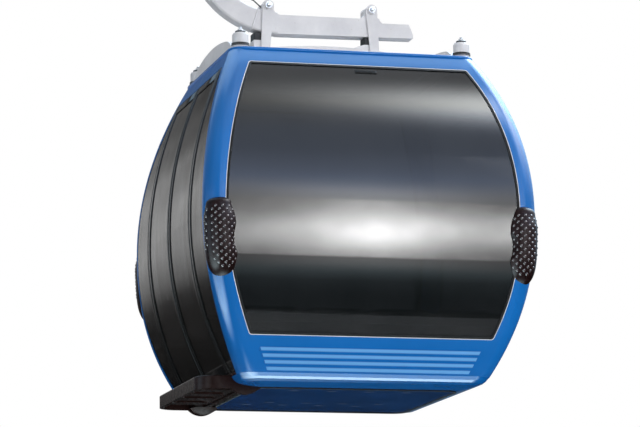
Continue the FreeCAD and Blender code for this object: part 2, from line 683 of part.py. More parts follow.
def bumpers():
    """Domed pads with rounded ends that wrap the four corner posts, hollowed beside the window."""
    middle = (BUMPER_LOW + BUMPER_HIGH) / 2
    axis = Vector(half_width(middle) - CORNER_R + BUMPER_SHIFT_X,
                  half_length(middle) - CORNER_R + BUMPER_SHIFT_Y, 0)
    edge_y = BODY_HALF_LENGTH - axis.y
    edge_x = math.sqrt(BUMPER_R ** 2 - edge_y ** 2)
    normal = Vector(-edge_x, edge_y, 0).normalize()
    run = Vector(edge_y, edge_x, 0).normalize()

    pad = bumper_profile().revolve(Vector(0, 0, 0), Vector(0, 0, 1), 360)
    pad.rotate(Vector(0, 0, middle), Vector(0, 1, 0), BUMPER_LEAN)
    pad.translate(axis)
    centre = axis + Vector(0, 0, middle + BUMPER_WAIST_ABOVE) + normal * (
        BUMPER_R + BUMPER_WAIST_R - BUMPER_WAIST_DEEP)
    waist = cylinder(BUMPER_WAIST_R, centre - run * 300, centre + run * 300)
    pad = pad.cut(barrel(0, BUMPER_LOW - 100, BUMPER_HIGH + 100)).cut(waist)
    pad = max(pad.Solids, key=lambda solid: solid.Volume)
    for end, (_, ey) in ENDS:
        for side, (sx, _) in SIDES:
            copy = pad.copy()
            if sx < 0:
                copy = copy.mirror(Vector(0, 0, 0), Vector(1, 0, 0))
            if ey < 0:
                copy = copy.mirror(Vector(0, 0, 0), Vector(0, 1, 0))
            keep("bumper_%s_%s" % (end, side), copy.Solids[0])


# ---------------------------------------------------------------------------------------------
# roof, its mounts and the frame on it
# ---------------------------------------------------------------------------------------------

def roof_shell():
    """The lid: a flat flange on the walls and a low crown inside it."""
    half_x, half_y = half_width(BODY_TOP) - 2, half_length(BODY_TOP) - 2
    base = BODY_TOP + ROOF_FLANGE
    crown_x, crown_y = half_x - CROWN_MARGIN_X, half_y - CROWN_MARGIN_Y

    def crown(drop, spread):
        """The crown's form, lowered by drop and closed below at the walls' top."""
        prisms = []
        for half, place, reach in ((crown_x - spread, across, Vector(0, FAR, 0)),
                                   (crown_y - spread, along, Vector(FAR, 0, 0))):
            foot = base + CROWN_EDGE - drop
            left, right = place(-half, foot), place(half, foot)
            foot_left, foot_right = place(-half, BODY_TOP - 1), place(half, BODY_TOP - 1)
            wire = Part.Wire([Part.Arc(left, place(0, base + ROOF_CROWN - drop), right).toShape(),
                              Part.LineSegment(right, foot_right).toShape(),
                              Part.LineSegment(foot_right, foot_left).toShape(),
                              Part.LineSegment(foot_left, left).toShape()])
            face = Part.Face(wire)
            face.translate(reach * -1)
            prisms.append(face.extrude(reach * 2))
        block = prisms[0].common(prisms[1])
        upright = [e for e in block.Edges if abs(e.tangentAt(e.FirstParameter).z) > 0.999]
        return block.makeFillet(CROWN_BLEND_R - spread, upright)

    flange = Part.Face(rounded_rectangle(half_x, half_y, CORNER_R - 2, BODY_TOP))
    plate = flange.extrude(Vector(0, 0, ROOF_FLANGE))
    crown_up = crown(0, 0).common(slab(-FAR, FAR, -FAR, FAR, BODY_TOP, FAR))
    keep("roof_shell", plate.fuse(crown_up).cut(crown(ROOF_SHEET, ROOF_SHEET)).removeSplitter())


def mount_seat():
    """Top of the arms' flat ends, where the mounts stand."""
    return BODY_TOP + ROOF_FLANGE + ARM_END_TALL


def turned(profile, x, y):
    """A solid of revolution about the upright axis through x, y; profile holds (r, z) corners."""
    corners = [Vector(r, 0, z) for r, z in profile]
    solid = Part.Face(Part.makePolygon(corners + corners[:1])).revolve(Vector(0, 0, 0), Vector(0, 0, 1), 360)
    solid.translate(Vector(x, y, 0))
    return solid


def roof_mounts():
    """Rubber mounts over the ends of the two arms: skirt, housing, cap and stud."""
    seat = mount_seat()
    skirt = seat + MOUNT_SKIRT
    shoulder = skirt + MOUNT_HOUSING
    cap = shoulder + MOUNT_CAP
    nut = cap + STUD_NUT
    chamfer = MOUNT_SHOULDER_R
    profile = [(0, seat - ARM_END_TALL), (STUD_R, seat - ARM_END_TALL), (STUD_R, seat),
               (MOUNT_SKIRT_R, seat), (MOUNT_SKIRT_R, skirt - 3), (MOUNT_HOUSING_R, skirt),
               (MOUNT_HOUSING_R, shoulder - chamfer), (MOUNT_HOUSING_R - chamfer * 0.3, shoulder - chamfer * 0.3),
               (MOUNT_HOUSING_R - chamfer, shoulder), (MOUNT_CAP_R, shoulder), (MOUNT_CAP_R, cap - 3),
               (MOUNT_CAP_R - 3, cap), (STUD_R, cap), (STUD_R, cap + STUD_TALL), (0, cap + STUD_TALL)]
    mounts = []
    for _, (_, ey) in ENDS:
        for _, (sx, _) in SIDES:
            x, y = sx * MOUNT_X, ey * MOUNT_Y
            mounts.append(turned(profile, x, y).fuse(hexagon(x, y, cap, STUD_NUT_R, nut - cap)).removeSplitter())
    keep("roof_mounts", Part.makeCompound(mounts))


def hexagon(x, y, z, radius, height):
    corners = [Vector(x + radius * math.cos(math.radians(60 * i)),
                      y + radius * math.sin(math.radians(60 * i)), z) for i in range(6)]
    return Part.Face(Part.makePolygon(corners + corners[:1])).extrude(Vector(0, 0, height))


def roof_arms():
    """Bowed arms from mount to mount, hollow below, with flat ends under the mounts."""
    base = BODY_TOP + ROOF_FLANGE
    top, shoulder = base + ARM_RISE, base + ARM_RISE - ARM_SHOULDER_DROP
    seat = mount_seat()
    neck = MOUNT_Y - MOUNT_SKIRT_R
    for side, (sx, _) in SIDES:
        x = sx * MOUNT_X - ARM_WIDE / 2

        def at(y, z):
            return Vector(x, y, z)

        edges = [Part.Arc(at(-ARM_SHOULDER_Y, shoulder), at(0, top), at(ARM_SHOULDER_Y, shoulder)).toShape()]
        for ey in (1, -1):
            edges.append(Part.Arc(at(ey * ARM_SHOULDER_Y, shoulder),
                                  at(ey * (ARM_SHOULDER_Y + neck) / 2, shoulder - 24),
                                  at(ey * neck, seat)).toShape())
            edges.append(Part.LineSegment(at(ey * neck, seat), at(ey * MOUNT_Y, seat)).toShape())
            edges.append(Part.LineSegment(at(ey * MOUNT_Y, seat), at(ey * MOUNT_Y, base)).toShape())
        edges.append(Part.LineSegment(at(MOUNT_Y, base), at(-MOUNT_Y, base)).toShape())
        arm = Part.Face(Part.Wire(Part.__sortEdges__(edges))).extrude(Vector(ARM_WIDE, 0, 0))
        inner = [Part.Arc(at(-ARM_SHOULDER_Y, shoulder - 30), at(0, top - ARM_WALL),
                          at(ARM_SHOULDER_Y, shoulder - 30)).toShape(),
                 Part.LineSegment(at(ARM_SHOULDER_Y, shoulder - 30), at(ARM_SHOULDER_Y, base - 1)).toShape(),
                 Part.LineSegment(at(ARM_SHOULDER_Y, base - 1), at(-ARM_SHOULDER_Y, base - 1)).toShape(),
                 Part.LineSegment(at(-ARM_SHOULDER_Y, base - 1), at(-ARM_SHOULDER_Y, shoulder - 30)).toShape()]
        hollow = Part.Face(Part.Wire(inner))
        hollow.translate(Vector(ARM_WALL, 0, 0))
        arm = arm.cut(hollow.extrude(Vector(ARM_WIDE - 2 * ARM_WALL, 0, 0)))
        for ey in (-1, 1):
            centre = Vector(sx * MOUNT_X, ey * MOUNT_Y, base)
            arm = arm.fuse(cylinder(MOUNT_SKIRT_R - 4, centre, Vector(centre.x, centre.y, seat)))
        for ey in (-1, 1):
            arm = arm.cut(cylinder(STUD_R, Vector(sx * MOUNT_X, ey * MOUNT_Y, base - 1),
                                   Vector(sx * MOUNT_X, ey * MOUNT_Y, seat + 1)))
        keep("roof_arm_" + side, arm.removeSplitter().Solids[0])


def rail_form(inset):
    """The cross rail's bowed form, made smaller by inset on all four long faces."""
    reach = MOUNT_X - ARM_WIDE / 2
    half = RAIL_WIDE / 2 - inset
    drop = RAIL_R - math.sqrt(RAIL_R ** 2 - reach ** 2)

    def at(x, z):
        return Vector(x, -half, z)

    top, low = RAIL_TOP - inset, RAIL_TOP - RAIL_TALL + inset
    edges = [Part.Arc(at(-reach, top - drop), at(0, top), at(reach, top - drop)).toShape(),
             Part.LineSegment(at(reach, top - drop), at(reach, low - drop)).toShape(),
             Part.Arc(at(reach, low - drop), at(0, low), at(-reach, low - drop)).toShape(),
             Part.LineSegment(at(-reach, low - drop), at(-reach, top - drop)).toShape()]
    return Part.Face(Part.Wire(edges)).extrude(Vector(0, 2 * half, 0))


def roof_rail():
    keep("roof_cross_rail", rail_form(0).cut(rail_form(RAIL_WALL)))


def beam_top():
    return BEAM_LOW + BEAM_TALL


def pin_place(sx):
    """Axis of one stirrup's pin, in x and z."""
    return SUSPENSION_X + sx * STIRRUP_PITCH / 2, beam_top() + STIRRUP_PIN_ABOVE


def stirrups():
    """Two stirrups that hang on pins over the beam; the rail is bolted between their feet."""
    inner = max(BEAM_WIDE, RAIL_WIDE) / 2 + STIRRUP_GAP
    half = STIRRUP_FOOT_WIDE / 2
    saddle_top = BEAM_LOW - PAD_THICK
    pads = []
    for (side, (sx, _)), toe in zip(SIDES, SADDLE_TOES):
        pin_x, pin_z = pin_place(sx)
        foot_x = pin_x + sx * STIRRUP_FOOT_OUT
        plates = []
        for ey in (-1, 1):
            y0 = inner if ey > 0 else -inner - STIRRUP_PLATE
            outline = [(foot_x - half, STIRRUP_FOOT_LOW), (foot_x + half, STIRRUP_FOOT_LOW),
                       (pin_x + STIRRUP_HEAD_R, pin_z), (pin_x - STIRRUP_HEAD_R, pin_z)]
            corners = [Vector(x, y0, z) for x, z in outline]
            web = Part.Face(Part.makePolygon(corners + corners[:1])).extrude(Vector(0, STIRRUP_PLATE, 0))
            head = cylinder(STIRRUP_HEAD_R, Vector(pin_x, y0, pin_z), Vector(pin_x, y0 + STIRRUP_PLATE, pin_z))
            plates.append(web.fuse(head))
        reach = inner + STIRRUP_PLATE + PIN_HEAD
        pin = cylinder(STIRRUP_PIN_R, Vector(pin_x, -inner, pin_z), Vector(pin_x, inner, pin_z))
        heads = [cylinder(PIN_HEAD_R, Vector(pin_x, ey * inner, pin_z), Vector(pin_x, ey * reach, pin_z))
                 for ey in (-1, 1)]
        heads = [round_rim(head, 6.0) for head in heads]
        left, right = foot_x - half - SADDLE_OUT, foot_x + half - 4
        toe_z = RAIL_TOP - RAIL_R + math.sqrt(RAIL_R ** 2 - (left - toe) ** 2) + SADDLE_TOE_EDGE
        rise = [(left - toe, toe_z), (left, saddle_top)] if toe else [(left, saddle_top)]
        outline = rise + [(right, saddle_top), (right, RAIL_TOP - RAIL_TALL),
                          (left - toe, RAIL_TOP - RAIL_TALL)]
        corners = [Vector(x, -inner, z) for x, z in outline]
        saddle = Part.Face(Part.makePolygon(corners + corners[:1])).extrude(Vector(0, 2 * inner, 0))
        saddle = max(saddle.cut(rail_form(0)).Solids, key=lambda solid: solid.BoundBox.ZMax)
        keep("stirrup_" + side, plates[0].fuse([plates[1], pin, saddle] + heads).removeSplitter())
        pads.append(rounded_slab(left + 2, right - 2, -BEAM_WIDE / 2 + 4, BEAM_WIDE / 2 - 4,
                                 saddle_top, BEAM_LOW, 12))
    keep("beam_pads", Part.makeCompound(pads))


def round_rim(disc, radius):
    """Rounds both rims of a short cylinder."""
    rims = [e for e in disc.Edges if isinstance(e.Curve, Part.Circle)]
    return disc.makeFillet(radius, rims)


# ---------------------------------------------------------------------------------------------
# hanger
# ---------------------------------------------------------------------------------------------

def bend_centre():
    """Centre of the lower bend, level with the start of the upright run."""
    return Vector(BEND_START_X, 0, BEAM_LOW + TUBE_DEEP / 2 + LOWER_BEND_R)


def tube_section(inset):
    """Cross section of the box tube, lying flat at the origin: deep along X, wide along Y."""
    return Part.Face(rounded_rectangle(TUBE_DEEP / 2 - inset, TUBE_WIDE / 2 - inset,
                                       TUBE_CORNER_R - inset, 0))


def bend(section, centre, radius, start, stop):
    """Turns the section about an axis along the rope; 90 degrees is level with the centre."""
    face = section.copy()
    face.translate(centre + Vector(-radius, 0, 0))
    face.rotate(centre, Vector(0, 1, 0), start - 90)
    return face.revolve(centre, Vector(0, 1, 0), stop - start)


def lug(sx):
    """The flared lug on the beam that a stirrup's pin passes through."""
    pin_x, pin_z = pin_place(sx)
    eye = STIRRUP_HEAD_R - 4
    top = beam_top() - 30
    half = BEAM_WIDE / 2

    def at(x, z):
        return Vector(x, -half, z)

    edges = []
    ends = []
    for side, flare in ((-sx, LUG_FLARE), (sx, LUG_FLARE * 0.6)):
        foot, neck = at(pin_x + side * flare, top + 30), at(pin_x + side * eye, pin_z)
        hollow = at(pin_x + side * (eye + (flare - eye) * 0.25), top + 30 + STIRRUP_PIN_ABOVE * 0.3)
        edges.append(Part.Arc(foot, hollow, neck).toShape())
        edges.append(Part.LineSegment(foot, at(pin_x + side * flare, top)).toShape())
        ends.append(at(pin_x + side * flare, top))
    edges.append(Part.Arc(at(pin_x - eye, pin_z), at(pin_x, pin_z + eye), at(pin_x + eye, pin_z)).toShape())
    edges.append(Part.LineSegment(ends[0], ends[1]).toShape())
    return Part.Face(Part.Wire(Part.__sortEdges__(edges))).extrude(Vector(0, BEAM_WIDE, 0))


def hanger_beam():
    """The beam over the roof, with its two lugs and its own bent end towards the tube."""
    half = BEAM_WIDE / 2
    tail_x = pin_place(1)[0] + STIRRUP_HEAD_R * 1.3
    tail_top = beam_top() - BEAM_TAIL_STEP
    outline = [(BEND_START_X, BEAM_LOW), (BEAM_RIGHT_END, BEAM_LOW + 8), (BEAM_RIGHT_END, BEAM_LOW + 30),
               (BEAM_RIGHT_END - BEAM_NOSE, tail_top), (tail_x + BEAM_TAIL_STEP, tail_top),
               (tail_x, beam_top()), (BEND_START_X, beam_top())]
    corners = [Vector(x, -half, z) for x, z in outline]
    box = Part.Face(Part.makePolygon(corners + corners[:1])).extrude(Vector(0, BEAM_WIDE, 0))
    tail = bend(tube_section(0), bend_centre(), LOWER_BEND_R, 0, BEND_JOINT_DEG)
    beam = box.fuse([tail, lug(-1), lug(1)])
    for sx in (-1, 1):
        x, z = pin_place(sx)
        beam = beam.cut(cylinder(STIRRUP_PIN_R + SPINDLE_CLEAR, Vector(x, -FAR, z), Vector(x, FAR, z)))
    keep("hanger_beam", beam.removeSplitter())


def hanger_arm():
    """The box tube beside the cabin, its hub and the spindle that turns in the grip."""
    centre = bend_centre()
    side_x = centre.x - LOWER_BEND_R
    top = ROPE_HEIGHT - SPINDLE_DROP
    upper = Vector(side_x + UPPER_BEND_R, 0, top - UPPER_BEND_R)
    end_x = HUB_FACE_X - HUB_COLLAR - 50
    runs = []
    for inset in (0, TUBE_WALL):
        section = tube_section(inset)
        upright = section.copy()
        upright.translate(Vector(side_x, 0, centre.z))
        upright = upright.extrude(Vector(0, 0, upper.z - centre.z))
        level = section.copy()
        level.rotate(Vector(0, 0, 0), Vector(0, 1, 0), 90)
        level.translate(Vector(upper.x, 0, top))
        level = level.extrude(Vector(end_x - upper.x, 0, 0))
        runs.append(bend(section, centre, LOWER_BEND_R, BEND_JOINT_DEG, 90).fuse(
            [upright, bend(section, upper, UPPER_BEND_R, 90, 180), level]))
    keep("hanger_arm", runs[0].cut(runs[1]).removeSplitter())

    hub = cylinder(HUB_R, Vector(end_x, 0, top), Vector(HUB_FACE_X - HUB_COLLAR, 0, top))
    collar = cylinder(HUB_R - 14, Vector(HUB_FACE_X - HUB_COLLAR, 0, top), Vector(HUB_FACE_X, 0, top))
    spindle = cylinder(SPINDLE_R, Vector(HUB_FACE_X, 0, top), Vector(SPINDLE_END_X, 0, top))
    nut = hexagon(0, 0, 0, SPINDLE_NUT_R, SPINDLE_NUT)
    nut.rotate(Vector(0, 0, 0), Vector(0, 1, 0), 90)
    nut.translate(Vector(SPINDLE_END_X, 0, top))
    keep("hanger_hub", round_rim(hub, 8.0).fuse([collar, spindle, nut]).removeSplitter())


# ---------------------------------------------------------------------------------------------
# grip
# ---------------------------------------------------------------------------------------------

def at_rope(x, y, z):
    """A place given from the rope's axis."""
    return Vector(x, y, ROPE_HEIGHT + z)


def cheek():
    """The upright plate: a narrow foot, two arms for the wheels and a top for the drive plate."""
    half = WHEEL_Y
    right = [(CHEEK_FOOT_HALF, BLOCK_LOW), (CHEEK_FOOT_HALF, BLOCK_TOP), (half - CHEEK_EYE_R, CHEEK_ARM_LOW),
             (half, CHEEK_ARM_LOW), (half, CHEEK_ARM_HIGH), (CHEEK_TOP_HALF, DRIVE_PLATE_Z)]
    outline = right + [(-y, z) for y, z in reversed(right)]
    corners = [at_rope(CHEEK_X, y, z) for y, z in outline]
    plate = Part.Face(Part.makePolygon(corners + corners[:1])).extrude(Vector(CHEEK_THICK, 0, 0))
    eyes = [cylinder(CHEEK_EYE_R, at_rope(CHEEK_X, ey * WHEEL_Y, WHEEL_Z),
                     at_rope(CHEEK_X + CHEEK_THICK, ey * WHEEL_Y, WHEEL_Z)) for ey in (-1, 1)]
    holes = [cylinder(CHEEK_HOLE_R, at_rope(CHEEK_X - 1, ey * CHEEK_HOLE_Y, 84),
                      at_rope(CHEEK_X + CHEEK_THICK + 1, ey * CHEEK_HOLE_Y, 84)) for ey in (-1, 1)]
    return plate.fuse(eyes).cut(holes[0]).cut(holes[1])


def axles():
    """Stub axles of the running wheels, each with a shoulder and an end nut."""
    pieces = []
    left, right = WHEEL_X - WHEEL_WIDE / 2, WHEEL_X + WHEEL_WIDE / 2
    for _, (_, ey) in ENDS:
        y = ey * WHEEL_Y
        pieces.append(cylinder(AXLE_R, at_rope(CHEEK_X + 2, y, WHEEL_Z), at_rope(right + 4, y, WHEEL_Z)))
        pieces.append(cylinder(AXLE_R + 10, at_rope(CHEEK_X + 2, y, WHEEL_Z), at_rope(left - 1, y, WHEEL_Z)))
        pieces.append(cylinder(AXLE_R + 9, at_rope(right + 1, y, WHEEL_Z), at_rope(right + 12, y, WHEEL_Z)))
    return pieces


def grip_body():
    """The casting: bearing barrel, block, lugs for the jaw's pin, cheek plate and axles."""
    barrel_tube = cylinder(BARREL_R, at_rope(BARREL_LEFT_X, 0, -SPINDLE_DROP),
                           at_rope(BARREL_RIGHT_X, 0, -SPINDLE_DROP))
    block = rounded_slab(BLOCK_LEFT_X, CHEEK_X + CHEEK_THICK, -BLOCK_HALF_LENGTH, BLOCK_HALF_LENGTH,
                         ROPE_HEIGHT + BLOCK_LOW, ROPE_HEIGHT + BLOCK_TOP, BLOCK_EDGE_R, "z")
    webs = []
    for x, half in ((BLOCK_LEFT_X + 14, BARREL_R), (20, BLOCK_HALF_LENGTH - 20), (CHEEK_X, BLOCK_HALF_LENGTH - 20)):
        outline = ((-half, BLOCK_LOW), (half, BLOCK_LOW), (BARREL_R * 0.8, -SPINDLE_DROP - 20),
                   (-BARREL_R * 0.8, -SPINDLE_DROP - 20))
        corners = [at_rope(x, y, z) for y, z in outline]
        webs.append(Part.Face(Part.makePolygon(corners + corners[:1])).extrude(Vector(14, 0, 0)))
    lugs = []
    for ey in (-1, 1):
        a = JAW_HALF_LENGTH + LUG_GAP
        y0, y1 = sorted((ey * a, ey * (a + LUG_WIDE)))
        lugs.append(slab(JAW_PIVOT_X - LUG_R, JAW_PIVOT_X + LUG_R, y0, y1,
                         ROPE_HEIGHT + BLOCK_TOP - 5, ROPE_HEIGHT + JAW_PIVOT_Z))
        lugs.append(cylinder(LUG_R, at_rope(JAW_PIVOT_X, y0, JAW_PIVOT_Z), at_rope(JAW_PIVOT_X, y1, JAW_PIVOT_Z)))
    bore = cylinder(SPINDLE_R + SPINDLE_CLEAR, at_rope(-FAR, 0, -SPINDLE_DROP), at_rope(FAR, 0, -SPINDLE_DROP))
    pin_bore = cylinder(JAW_PIN_R, at_rope(JAW_PIVOT_X, -FAR, JAW_PIVOT_Z), at_rope(JAW_PIVOT_X, FAR, JAW_PIVOT_Z))
    body = block.fuse([barrel_tube, cheek()] + webs + lugs + axles())
    keep("grip_body", body.cut(bore).cut(pin_bore).removeSplitter())

    reach = JAW_HALF_LENGTH + LUG_GAP + LUG_WIDE + 8
    keep("jaw_pin", cylinder(JAW_PIN_R, at_rope(JAW_PIVOT_X, -reach, JAW_PIVOT_Z),
                             at_rope(JAW_PIVOT_X, reach, JAW_PIVOT_Z)))


def drive_plate():
    """The lining plate that the stations' tyres press on; its ends bend down."""
    middle = CHEEK_X + CHEEK_THICK / 2
    low, high = DRIVE_PLATE_Z, DRIVE_PLATE_Z + DRIVE_PLATE_THICK
    flat, end = DRIVE_PLATE_HALF - DRIVE_PLATE_RAMP, DRIVE_PLATE_HALF
    outline = [(-end, low - 14), (-flat, low), (flat, low), (end, low - 14),
               (end, high - 14), (flat, high), (-flat, high), (-end, high - 14)]
    corners = [at_rope(middle - DRIVE_PLATE_WIDE / 2, y, z) for y, z in outline]
    plate = Part.Face(Part.makePolygon(corners + corners[:1])).extrude(Vector(DRIVE_PLATE_WIDE, 0, 0))
    keep("drive_plate", plate)


def jaw_prism(corners):
    wire = Part.makePolygon([at_rope(x, -JAW_HALF_LENGTH, z) for x, z in corners + corners[:1]])
    return Part.Face(wire).extrude(Vector(0, 2 * JAW_HALF_LENGTH, 0))


def lever():
    """The tapering lever on the moving jaw, with the roller's pin at its tip."""
    half = LEVER_WIDE / 2
    root, tip = at_rope(JAW_PIVOT_X - 6, 0, -22), at_rope(LEVER_END_X, 0, LEVER_END_Z)
    run = (tip - root).normalize()
    normal = Vector(-run.z, 0, run.x)
    corners = [root - normal * LEVER_ROOT_R * 0.8, root + normal * LEVER_ROOT_R * 0.8,
               tip + normal * LEVER_TIP_R, tip - normal * LEVER_TIP_R]
    corners = [p + Vector(0, -half, 0) for p in corners]
    bar = Part.Face(Part.makePolygon(corners + corners[:1])).extrude(Vector(0, LEVER_WIDE, 0))
    knob = cylinder(LEVER_TIP_R, tip + Vector(0, -half, 0), tip + Vector(0, half, 0))
    pin = cylinder(ROLLER_PIN_R, tip, tip + Vector(0, half + ROLLER_WIDE + 4, 0))
    head = cylinder(ROLLER_PIN_R + 8, tip + Vector(0, half + ROLLER_WIDE + 1, 0),
                    tip + Vector(0, half + ROLLER_WIDE + 9, 0))
    return [bar, knob, pin, head]


def jaws():
    """Fixed jaw under and beside the rope, moving jaw over it, and the coupling roller."""
    rope = cylinder(ROPE_D / 2, at_rope(0, -FAR, 0), at_rope(0, FAR, 0))
    r = ROPE_D / 2
    fixed = jaw_prism([(-14, -16), (-14, -r - 17), (2, -r - 27), (2, BLOCK_TOP), (CHEEK_X, BLOCK_TOP),
                       (CHEEK_X, r + 4), (r + JAW_WALL, r + 4), (r + 8, r - 4), (15, 12)])
    keep("fixed_jaw", fixed.cut(rope).Solids[0])

    moving = jaw_prism([(-3, 14), (-3, r + 12), (-r - 6, r + 14), (-r - JAW_WALL, r + 1),
                        (JAW_PIVOT_X - 16, -12), (JAW_PIVOT_X - 22, JAW_PIVOT_Z),
                        (JAW_PIVOT_X + 28, JAW_PIVOT_Z), (-20, -r - 5), (-20, -10)])
    eye = cylinder(JAW_EYE_R, at_rope(JAW_PIVOT_X, -JAW_HALF_LENGTH, JAW_PIVOT_Z),
                   at_rope(JAW_PIVOT_X, JAW_HALF_LENGTH, JAW_PIVOT_Z))
    pin_bore = cylinder(JAW_PIN_R + AXLE_CLEAR, at_rope(JAW_PIVOT_X, -FAR, JAW_PIVOT_Z),
                        at_rope(JAW_PIVOT_X, FAR, JAW_PIVOT_Z))
    jaw = moving.cut(rope).fuse([eye] + lever()).cut(pin_bore)
    keep("moving_jaw", max(jaw.removeSplitter().Solids, key=lambda solid: solid.Volume))

    tip = at_rope(LEVER_END_X, 0, LEVER_END_Z)
    start, stop = LEVER_WIDE / 2 + 1, LEVER_WIDE / 2 + ROLLER_WIDE
    ring = cylinder(ROLLER_R, tip + Vector(0, start, 0), tip + Vector(0, stop, 0))
    ring = round_rim(ring, 5.0)
    keep("coupling_roller", ring.cut(cylinder(ROLLER_PIN_R + ROLLER_CLEAR, tip, tip + Vector(0, FAR, 0))))


def running_wheels():
    """Two wheels: a dished hub that turns on its axle, and a tyre round it."""
    left, right = WHEEL_X - WHEEL_WIDE / 2, WHEEL_X + WHEEL_WIDE / 2
    rim_r = WHEEL_R - WHEEL_TYRE
    for end, (_, ey) in ENDS:
        y = ey * WHEEL_Y
        hub = cylinder(rim_r, at_rope(left, y, WHEEL_Z), at_rope(right, y, WHEEL_Z))
        for a, b in ((left - 1, left + WHEEL_DISH), (right - WHEEL_DISH, right + 1)):
            dish = cylinder(rim_r - 8, at_rope(a, y, WHEEL_Z), at_rope(b, y, WHEEL_Z))
            boss = cylinder(AXLE_R + 8, at_rope(a, y, WHEEL_Z), at_rope(b, y, WHEEL_Z))
            hub = hub.cut(dish.cut(boss))
        bore = cylinder(AXLE_R + AXLE_CLEAR, at_rope(left - 1, y, WHEEL_Z), at_rope(right + 1, y, WHEEL_Z))
        tyre = cylinder(WHEEL_R, at_rope(left + 2, y, WHEEL_Z), at_rope(right - 2, y, WHEEL_Z))
        rim = cylinder(rim_r, at_rope(left, y, WHEEL_Z), at_rope(right, y, WHEEL_Z))
        keep("wheel_hub_" + end, hub.cut(bore))
        keep("wheel_tyre_" + end, round_rim(tyre, 4.0).cut(rim))


def spring_housings():
    """Two upright spring cans under the block; their springs close the moving jaw."""
    cans = []
    for ey in (-1, 1):
        x, y = SPRING_X, ey * SPRING_Y
        profile = [(0, BLOCK_LOW), (SPRING_R, BLOCK_LOW), (SPRING_R, SPRING_LOW + SPRING_CAP),
                   (SPRING_R + 5, SPRING_LOW + SPRING_CAP), (SPRING_R + 5, SPRING_LOW + 5),
                   (SPRING_R, SPRING_LOW), (0, SPRING_LOW)]
        cans.append(turned([(r, z + ROPE_HEIGHT) for r, z in profile], x, y))
    keep("spring_housings", Part.makeCompound(cans))


def write_parts():
    os.makedirs("parts", exist_ok=True)
    for name, shape in PARTS.items():
        placed = shape.copy()
        placed.translate(Vector(0, 0, -ROPE_HEIGHT))
        placed.exportStep("parts/%s.step" % name)


corner_posts()
end_walls()
right_wall()
door_wall()
door_guide()
floor_pan()
door_step()
benches()
bumpers()
roof_shell()
roof_mounts()
roof_arms()
roof_rail()
stirrups()
hanger_beam()
hanger_arm()
grip_body()
drive_plate()
jaws()
running_wheels()
spring_housings()
write_parts()
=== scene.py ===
"""Gondola cabin with its hanger and rope grip: finishes, trim, hardware, light and camera."""
import json
import math

import bmesh
import bpy
from mathutils import Matrix, Vector
from mathutils.bvhtree import BVHTree


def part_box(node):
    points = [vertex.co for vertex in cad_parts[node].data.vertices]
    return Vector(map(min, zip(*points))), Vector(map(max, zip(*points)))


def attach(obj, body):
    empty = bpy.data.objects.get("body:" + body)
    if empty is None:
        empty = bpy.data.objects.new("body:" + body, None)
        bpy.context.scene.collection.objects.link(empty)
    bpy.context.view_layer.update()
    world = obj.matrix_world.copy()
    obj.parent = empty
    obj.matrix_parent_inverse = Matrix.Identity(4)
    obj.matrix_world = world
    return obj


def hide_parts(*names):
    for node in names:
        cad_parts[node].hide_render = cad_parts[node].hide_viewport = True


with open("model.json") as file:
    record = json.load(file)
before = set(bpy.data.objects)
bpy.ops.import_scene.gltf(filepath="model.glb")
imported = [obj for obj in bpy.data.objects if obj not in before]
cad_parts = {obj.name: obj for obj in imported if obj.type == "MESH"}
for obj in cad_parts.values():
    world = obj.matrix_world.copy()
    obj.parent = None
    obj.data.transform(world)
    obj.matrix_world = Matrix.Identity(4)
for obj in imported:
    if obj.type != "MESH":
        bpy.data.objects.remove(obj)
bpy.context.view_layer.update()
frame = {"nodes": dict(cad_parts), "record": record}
nodes = frame["nodes"]
scene = bpy.context.scene
ROPE_ABOVE_FLOOR = 4.4      # the rope's axis above the underside of the cabin's floor
BOTH = (-1, 1)
ENDS = (("front", -1), ("rear", 1))


# ---- finishes ----

